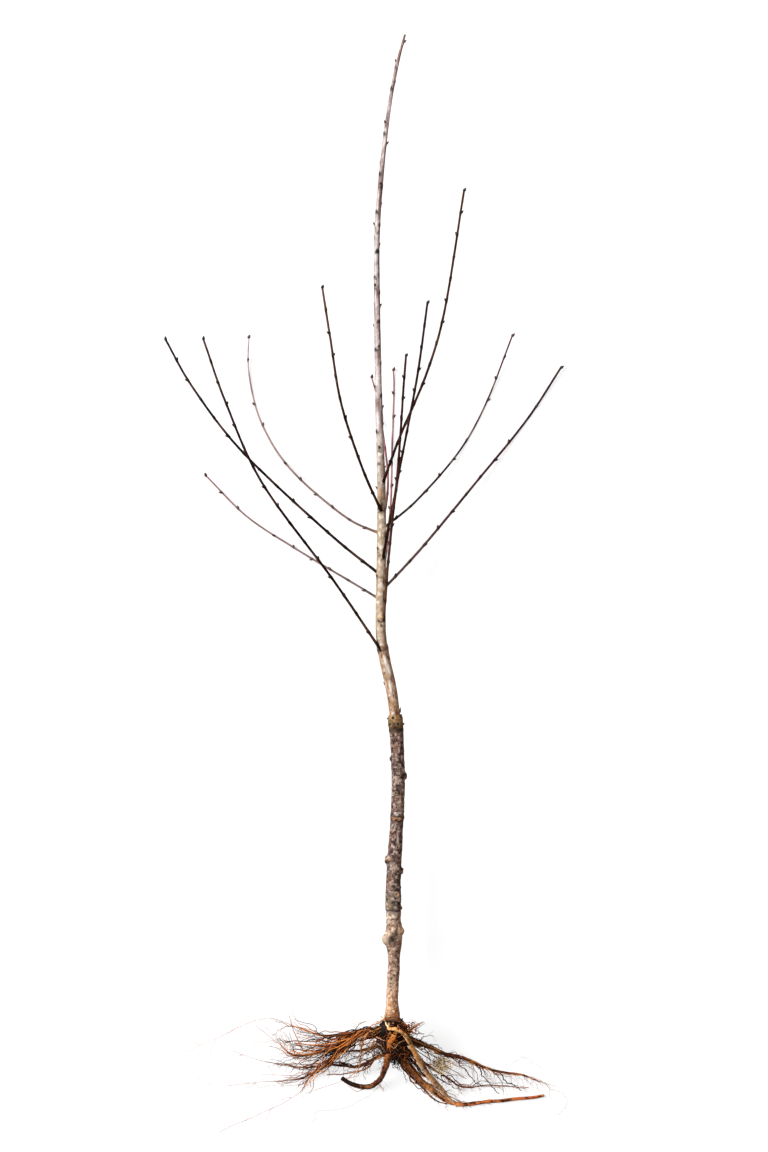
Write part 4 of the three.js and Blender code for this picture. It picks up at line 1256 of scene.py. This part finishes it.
def add_strands(meshes, waypoints, colour, seed, build):
    """Add thin roots, each with its own shade of a colour, to a list of meshes, and return their paths."""
    rings, thick, thin, sides, sway = build
    paths = spline(waypoints, np.linspace(0, 1, rings))
    paths = rested(wander(paths, sway, seed), thick)
    random = np.random.default_rng(seed)
    taper = np.linspace(1, 0, rings)[None, :, None]
    size = random.uniform(0.7, 1.2, (len(paths), 1, 1))
    radii = thin + (thick - thin) * taper * size
    radii = radii * (1 + 0.18 * random.uniform(-1, 1, (len(paths), rings, 1)))
    shade = random.uniform(0.65, 1.4, (len(paths), 1, 1, 1)) * random.uniform(0.75, 1.25, (1, rings, 1, 1))
    tones = linear(colour) * shade + np.zeros((1, 1, sides, 1))
    meshes.append(tube_mesh(paths, radii + np.zeros((1, 1, sides)), tones))
    return paths


# How thin roots of each sort are built: rings, radius at the foot and at the tip, sides, and sway.
ROOTLET_BUILD = (28, 0.75, 0.25, 6, 0.8)
FAINT_BUILD = (28, 0.34, 0.2, 4, 0.8)
BESIDE_BUILD = (60, 1.0, 0.35, 6, 2.5)
FORK_BUILD = (50, 1.1, 0.5, 6, 1.5)
HAIR_BUILD = (24, 0.34, 0.16, 4, 0.8)
FINEST_BUILD = (16, 0.22, 0.1, 3, 0.8)
FAN_HAIR_BUILD = (18, 0.27, 0.13, 4, 0.8)
LONG_HAIR_BUILD = (90, 0.34, 0.22, 4, 2.5)
TUFT_BUILD = (50, 0.5, 0.3, 4, 1.2)
CROWN_FIBRE_BUILD = (14, 0.6, 0.2, 4, 3.2)
CROWN_FOOT_BUILD = (24, 0.8, 0.3, 5, 2)

BESIDE_KINDS = [RUST, DARK, ORANGE, MAROON]
FAN_KINDS = [UMBER, RUST, DARK, ORANGE, UMBER, MAROON]
# Strands that fan out between two roots: the two, how many, their longest share of them, and their radius.
FANS = [
    ["root_left_top", "root_left_core", 10, 0.62, 1.5],
    ["root_left_upper", "root_left_core", 7, 0.9, 1.4],
    ["root_left_core", "root_left_low", 9, 0.66, 1.4],
    ["root_left_low", "root_left_far", 6, 0.7, 1.2],
    ["root_left_far", "root_left_middle", 4, 0.66, 0.9],
    ["root_left_pale", "root_left_thin", 4, 0.8, 0.7],
    ["root_right_upper", "root_right_middle", 5, 0.7, 0.9],
    ["root_right_middle", "root_right_thick", 7, 0.7, 0.9],
    ["root_right_dark", "root_right_thick", 5, 0.5, 1.3],
    ["root_right_top", "root_right_upper", 7, 0.35, 0.9],
]


def fan(first, second, count, longest, seed):
    """Strands from the crown that keep a place between two roots."""
    random = np.random.default_rng(seed)
    end = longest * random.uniform(0.5, 1, (count, 1))
    t = end * np.linspace(0.02, 1, 14)[None]
    place = np.linspace(0.05, 0.95, count)[:, None] + random.uniform(-0.12, 0.12, (count, 1))
    place = place + random.uniform(-0.3, 0.3, (count, 1)) * np.linspace(0, 1, 14)[None]
    place = np.clip(place, 0.04, 0.96)[..., None]
    paths = first.point(t.ravel()).reshape(count, 14, 3) * (1 - place)
    paths += second.point(t.ravel()).reshape(count, 14, 3) * place
    paths[..., 2] += random.uniform(-6, 8, (count, 1)) * np.sin(math.pi * np.linspace(0, 1, 14))[None]
    return paths


def make_roots():
    """The roots' bark, with all rootlets and hairs of one colour in one piece."""
    rootlets = {kind: [] for kind in KIND_NAMES}
    hairs = {kind: [] for kind in KIND_NAMES}
    limbs = {name: limb_from_stem(root) for name, root in ROOTS.items()}
    for number, (name, root) in enumerate(ROOTS.items()):
        limb = limbs[name]
        fade = root.get("fade", NO_FADE)
        rings = round(limb.length / ROOT_RING_SPACING)
        t = limb.share_at(np.linspace(0, limb.length, rings))
        angle = angles_of(ROOT_SIDES)
        lengths = (t * limb.length)[:, None]
        plain = limb.radius(t)[:, None]
        path = wander(limb.point(t)[None], min(0.9, 0.3 + 0.15 * root["thick"]), 100 + number, 4)
        path = rested(path, plain[None].mean())
        frames = carried_frames(path)
        facing_up = np.cos(angle) * frames[0][0, :, 2:] + np.sin(angle) * frames[1][0, :, 2:]
        knobs = ripple(lengths, angle, 8, 3, 120 + number)
        wrinkle = ripple(lengths, angle, 2.6, 6, 140 + number)
        streak = ripple(lengths, angle, 26, 8, 160 + number) + 0.3 * wrinkle
        faint = clamp((t - fade) / 0.12 + 0.5)[:, None]
        radius = plain * (1 + 0.16 * knobs + 0.09 * wrinkle + 0.1 * streak)
        radius = radius * (1 - faint) + np.minimum(radius, 0.32) * faint
        tones = tones_of(root["tones"], t[:, None] + 0 * angle)
        # Painted shade in the hollows of the knobs and wrinkles; the dark streaks on the next line are the
        # root's own colour.
        tones = paint(tones, "#241208", clamp(-knobs - 0.5 * wrinkle - 0.2) * root.get("hollow_shade_and_streaks", 1))
        tones = paint(tones, "#241208", clamp(-streak - 0.2) * 1.6 * root.get("hollow_shade_and_streaks", 1))
        tones = paint(tones, "#e8964c", clamp(streak - 0.2) * 1.1 * root.get("ridges", 1))
        # Painted shade and highlight: each root is darkened on its underside and brightened on its top, as
        # if lit from above.
        tones = tones * (0.4 + 0.8 * clamp(0.5 + facing_up))[..., None]
        tones = paint(tones, FAINT, faint + 0 * angle)
        if root.get("cut"):
            tones[-3:] = linear(root["cut"])
            radius[-1] *= 0.7
        mesh = tube_mesh(path, radius[None], tones[None], frames)
        slot = "root_bark" if root.get("cut") else "fibrous_root"
        piece(name + "_bark", [mesh], ROOT_BARK, slot, name)

        kind = root["kind"]
        droop = root.get("droop", ROOTLET_DROOP)
        waypoints, feet = rootlet_waypoints(limb, root["rootlets"], root["reach"], droop, number + 1)
        strong = feet < min(fade, 0.6)
        first = add_strands(rootlets[kind], waypoints[strong], kind, 200 + number, ROOTLET_BUILD)
        if not strong.all():
            add_strands(rootlets[FAINT], waypoints[~strong], FAINT, 220 + number, FAINT_BUILD)
        beside = in_reach(companions(limb, root["beside"], min(fade, 1), 250 + number, root["spread"]))
        for group in range(2):
            colour = BESIDE_KINDS[(number + group) % 4]
            chosen = beside[group::2]
            if len(chosen):
                add_strands(rootlets[colour], chosen, colour, 280 + 10 * number + group, BESIDE_BUILD)
        forks = np.array([[Limb(line, **FORK).point(t)[0] for t in np.linspace(0, 1, 8)]
                          for line in root.get("forks", [])])
        if len(forks):
            add_strands(rootlets[DARK], forks, DARK, 290 + number, FORK_BUILD)
        limb_path = limb.point(np.linspace(0.1, min(fade, 1), 40))[None]
        more = in_reach(sprout(limb_path, root["rootlets"], root["reach"] * 0.7, droop, 300 + number))
        second = add_strands(hairs[MAROON], more, MAROON, 400 + number, HAIR_BUILD)
        for parents, colour, seed in [(first, MAROON, 500), (second, FAINT, 600), (forks, MAROON, 700)]:
            if len(parents):
                finer = in_reach(sprout(parents, 3, root["reach"] * 0.5, droop, seed + number))
                add_strands(hairs[colour], finer, colour, seed + 50 + number, FINEST_BUILD)

    for number, (one, other, count, longest, thick) in enumerate(FANS):
        strands = in_reach(fan(limbs[one], limbs[other], count, longest, 800 + number))
        for group in range(3):
            colour = FAN_KINDS[group + 3 * (number % 2)]
            chosen = strands[group::3]
            if len(chosen):
                build = (90, thick, 0.4, 7, 2.2)
                paths = add_strands(rootlets[colour], chosen, colour, 820 + 10 * number + group, build)
                finer = in_reach(sprout(paths[:, 20:], 3, 34, ROOTLET_DROOP, 950 + 10 * number + group))
                add_strands(hairs[MAROON], finer, MAROON, 960 + 10 * number + group, FAN_HAIR_BUILD)
    for colour, label in KIND_NAMES.items():
        if rootlets[colour]:
            piece(f"rootlets_{label}", rootlets[colour], FINE_ROOT, "fibrous_root")
        if hairs[colour]:
            piece(f"root_hairs_{label}", hairs[colour], FINE_ROOT, "fibrous_root")


# Single strands over the crown's dark middle and beside it: colour, radius and [sideways, along, height].
CROWN_STRANDS = [
    ["#fce4b4", 1.1, [[-9, -6, 104], [-7, -11, 107], [-5, -16, 109], [-2, -19, 110]]],
    ["#b08458", 0.8, [[-1, -22, 107], [-5, -31, 106], [-8, -38, 105]]],
    ["#f4ac7c", 1.0, [[-24, -31, 98], [-19, -33, 104], [-11, -36, 107]]],
    ["#a8845c", 1.2, [[-7, -40, 106], [-1, -44, 107], [5, -49, 108], [12, -42, 109], [23, -37, 104]]],
    ["#d0a878", 0.8, [[-22, -42, 98], [-16, -47, 102], [-12, -52, 102], [-12, -56, 100]]],
    ["#f6d8a4", 1.0, [[-6, 2, 98], [-3, 3, 99], [1, 2, 99]]],
    ["#e8aa68", 0.9, [[-17, 3, 92], [-13, 0, 98], [-10, -4, 103]]],
    ["#eab27a", 1.0, [[-27, -25, 96], [-33, -21, 96], [-38, -23, 94], [-41, -32, 88], [-47, -41, 78],
                      [-49, -51, 66], [-46, -58, 56], [-50, -70, 40]]],
    ["#b87a4c", 1.0, [[-28, -38, 90], [-36, -52, 74], [-45, -64, 58], [-52, -74, 40], [-60, -90, 18]]],
    ["#8a5030", 0.8, [[-26, -31, 92], [-38, -44, 78], [-42, -52, 66]]],
    ["#c88a58", 0.9, [[-24, -44, 84], [-27, -56, 70], [-26, -66, 58], [-34, -74, 44], [-50, -76, 34]]],
    ["#5a3018", 0.8, [[-61, -23, 76], [-55, -16, 82], [-48, -9, 86], [-40, -6, 88]]],
    ["#dc9450", 1.1, [[28, -21, 98], [37, -14, 97], [48, -8, 96]]],
    ["#b46c34", 1.2, [[19, -7, 98], [28, -12, 98], [37, -14, 96], [43, -15, 94]]],
    ["#a87058", 0.7, [[39, -22, 92], [48, -14, 92], [54, -11, 92]]],
    ["#3a2010", 0.9, [[30, -22, 92], [42, -27, 90], [48, -26, 90], [55, -28, 90]]],
    ["#d08a4c", 1.2, [[-12, -2, 98], [-22, -9, 96], [-31, -12, 94], [-38, -16, 92]]],
]
# Single strands of the left-hand fan.
LEFT_STRANDS = [
    ["#c06c36", 0.9, [[-140, -60, 36], [-147, -57, 40], [-157, -38, 42], [-163, -22, 44], [-166, -11, 46],
                      [-169, 0, 48]]],
    ["#d07c34", 1.0, [[-70, -36, 70], [-90, -43, 60], [-109, -48, 54], [-135, -48, 48], [-146, -48, 46],
                      [-157, -48, 44]]],
    ["#8a4426", 0.8, [[-75, -30, 72], [-109, -34, 60], [-122, -40, 55], [-131, -42, 52], [-146, -42, 49],
                      [-161, -42, 46], [-176, -42, 44], [-189, -38, 42]]],
    ["#b86028", 1.1, [[-90, -50, 58], [-109, -54, 52], [-118, -59, 48], [-131, -58, 45], [-148, -58, 42],
                      [-150, -53, 42]]],
    [DARK, 0.9, [[-84, -54, 56], [-98, -62, 44], [-113, -72, 32], [-130, -82, 20], [-147, -83, 12]]],
    [DARK, 0.8, [[-90, -56, 54], [-105, -64, 44], [-124, -71, 34], [-139, -74, 26], [-145, -77, 22]]],
    [DARK, 0.8, [[-94, -52, 56], [-109, -60, 46], [-127, -68, 38], [-146, -71, 30]]],
    ["#86491f", 1.7, [[-60, -32, 76], [-72, -40, 68], [-91, -62, 50], [-109, -76, 36], [-128, -83, 22],
                      [-147, -88, 12], [-154, -92, 6]]],
    [DARK, 0.9, [[-54, -36, 76], [-60, -45, 68], [-62, -55, 58], [-74, -59, 48], [-91, -63, 42]]],
    [FAINT, 0.4, [[-42, -7, 86], [-71, -11, 78], [-88, -15, 72], [-97, -22, 66]]],
    ["#7a3a1c", 0.9, [[-62, -26, 80], [-83, -25, 72], [-98, -26, 66], [-109, -24, 62], [-118, -28, 58]]],
    ["#9a5024", 0.8, [[-103, -35, 62], [-109, -43, 57], [-107, -49, 54]]],
    ["#d07c34", 0.9, [[-42, -16, 92], [-53, -24, 86], [-72, -39, 78], [-87, -49, 70], [-102, -55, 63],
                      [-109, -63, 55], [-117, -77, 42], [-128, -88, 28]]],
    ["#c87430", 0.9, [[-50, -22, 88], [-62, -32, 82], [-75, -46, 74], [-88, -55, 65], [-96, -67, 54],
                      [-102, -77, 44]]],
    ["#c08c84", 0.5, [[-136, -98, 4], [-154, -103, 0], [-176, -104, 0], [-195, -102, 0],
                      [-214, -102, 0]]],
    ["#4a2018", 0.9, [[-128, -95, 8], [-139, -104, 0], [-147, -109, 0], [-157, -109, 0]]],
]


def make_crown_fibres():
    """Short fibres that bristle from the root crown, and strands that loop over it."""
    random = seeded(CROWN_FIBRES["seed"])
    lines = []
    for k in range(CROWN_FIBRES["count"]):
        s = CROWN_FIBRES["first"] + (CROWN_FIBRES["last"] - CROWN_FIBRES["first"]) * random()
        start = stem_point(s)
        length = along(TRUNK_GIRTH, s)[0] + CROWN_FIBRES["reach"] * (0.3 + random())
        end = start + outward(stem_heading(s), k * GOLDEN_ANGLE) * length
        end[1] -= CROWN_FIBRES["back"] * random()
        lines.append([start, (start + end) / 2, end])
    lines = np.array(lines)
    meshes = []
    for kind, colour in enumerate([DARK, UMBER, DARK, RUST, DARK]):
        add_strands(meshes, lines[kind::5], colour, 700 + kind, CROWN_FIBRE_BUILD)
    piece("crown_fibres", meshes, FINE_ROOT, "fibrous_root")

    loops = np.random.default_rng(71)
    meshes = []
    for colour, count, thick in [(ORANGE, 6, 0.6), (RUST, 10, 0.8), (DARK, 30, 1.1)]:
        share = np.linspace(0, 1, 9)[None]
        s = loops.uniform(-16, -2, (count, 1)) - loops.uniform(24, 52, (count, 1)) * share
        turn = loops.uniform(0, math.tau, (count, 1)) + loops.uniform(-1.6, 1.6, (count, 1)) * share
        turn += loops.uniform(-0.35, 0.35, (count, 9))
        lift = loops.uniform(0, 3, (count, 1))
        lift = lift + 6 * np.sin(math.pi * share) * loops.uniform(0.2, 1, (count, 1))
        away = along(TRUNK_GIRTH, s)[..., 0] + lift
        spoke = outward(stem_heading(s.ravel()), turn.ravel())
        paths = stem_point(s.ravel()) + spoke * away.reshape(-1, 1)
        add_strands(meshes, paths.reshape(count, 9, 3), colour, 720 + count, (60, thick, 0.4, 6, 1.2))
    foot = np.random.default_rng(77)
    for colour, count in [(DARK, 34), (UMBER, 14), (RUST, 8)]:
        s = foot.uniform(-68, -40, count)
        spoke = outward(stem_heading(s), foot.uniform(0, math.tau, count))
        start = stem_point(s) + 0.8 * spoke * along(TRUNK_GIRTH, s)
        reach = foot.uniform([-14, -30, -26], [14, -10, -2], (count, 3))
        sag = foot.uniform(-4, 4, (count, 3))
        paths = np.stack([start, start + reach / 2 + sag, start + reach], 1)
        add_strands(meshes, paths, colour, 725 + count, CROWN_FOOT_BUILD)
    for number, (colour, thick, line) in enumerate(CROWN_STRANDS + LEFT_STRANDS):
        add_strands(meshes, np.array([line], float), colour, 730 + number, (60, thick, 0.5 * thick, 6, 0.5))
    piece("crown_loops", meshes, FINE_ROOT, "fibrous_root")


# Long faint hairs that stray out over the floor: [sideways, along, clearance].
LONG_HAIRS = [
    [[-10, -96, 40], [-30, -140, 4], [-76, -158, 0], [-114, -168, 0], [-128, -180, 0], [-149, -201, 0]],
    [[246, -110, 2], [262, -122, 0], [284, -132, 0], [294, -148, 0], [284, -166, 0], [270, -170, 0]],
    [[-141, -62, 40], [-156, -39, 42], [-164, -16, 44], [-165, 2, 46], [-168, 16, 48]],
    [[-150, -50, 30], [-186, -58, 20], [-200, -72, 10], [-199, -100, 2], [-186, -112, 0], [-160, -116, 0]],
    [[-188, -42, 20], [-214, -22, 18], [-236, 0, 12], [-247, 14, 8]],
    [[-150, -118, 0], [-196, -126, 0], [-236, -119, 0], [-290, -118, 0], [-330, -112, 0]],
    [[190, -86, 14], [214, -76, 12], [236, -80, 8], [250, -92, 4]],
]


# The tuft of yellow fibres: its middle, its half sizes, and the half sizes of its foot.
TUFT_MIDDLE = np.array([83, -82, 44])
TUFT_SIZE = [26, 18, 14]
TUFT_FOOT = [5, 5, 3]


def make_loose_hairs():
    """The long faint hairs, and the tuft of fine yellow fibres beside the right-hand roots."""
    meshes = []
    for number, line in enumerate(LONG_HAIRS):
        add_strands(meshes, np.array([line], float), "#c9bab0", 740 + number, LONG_HAIR_BUILD)
    piece("long_hairs", meshes, FINE_ROOT, "fibrous_root")

    random = np.random.default_rng(75)
    tuft = []
    for number, (colour, count) in enumerate([("#ffeecc", 8), ("#ffdca0", 6), ("#e8b878", 4)]):
        ways = TUFT_SIZE * unit(random.normal(size=(count, 7, 3)))
        places = TUFT_MIDDLE + ways * random.uniform(0.3, 1, (count, 7, 1))
        places[:, 0] = TUFT_MIDDLE + random.normal(size=(count, 3)) * TUFT_FOOT
        add_strands(tuft, places, colour, 760 + number, TUFT_BUILD)
    piece("yellow_tuft", tuft, FINE_ROOT, "fibrous_root")


make_trunk()
make_leader(make_shoots())
make_roots()
make_crown_fibres()
make_loose_hairs()
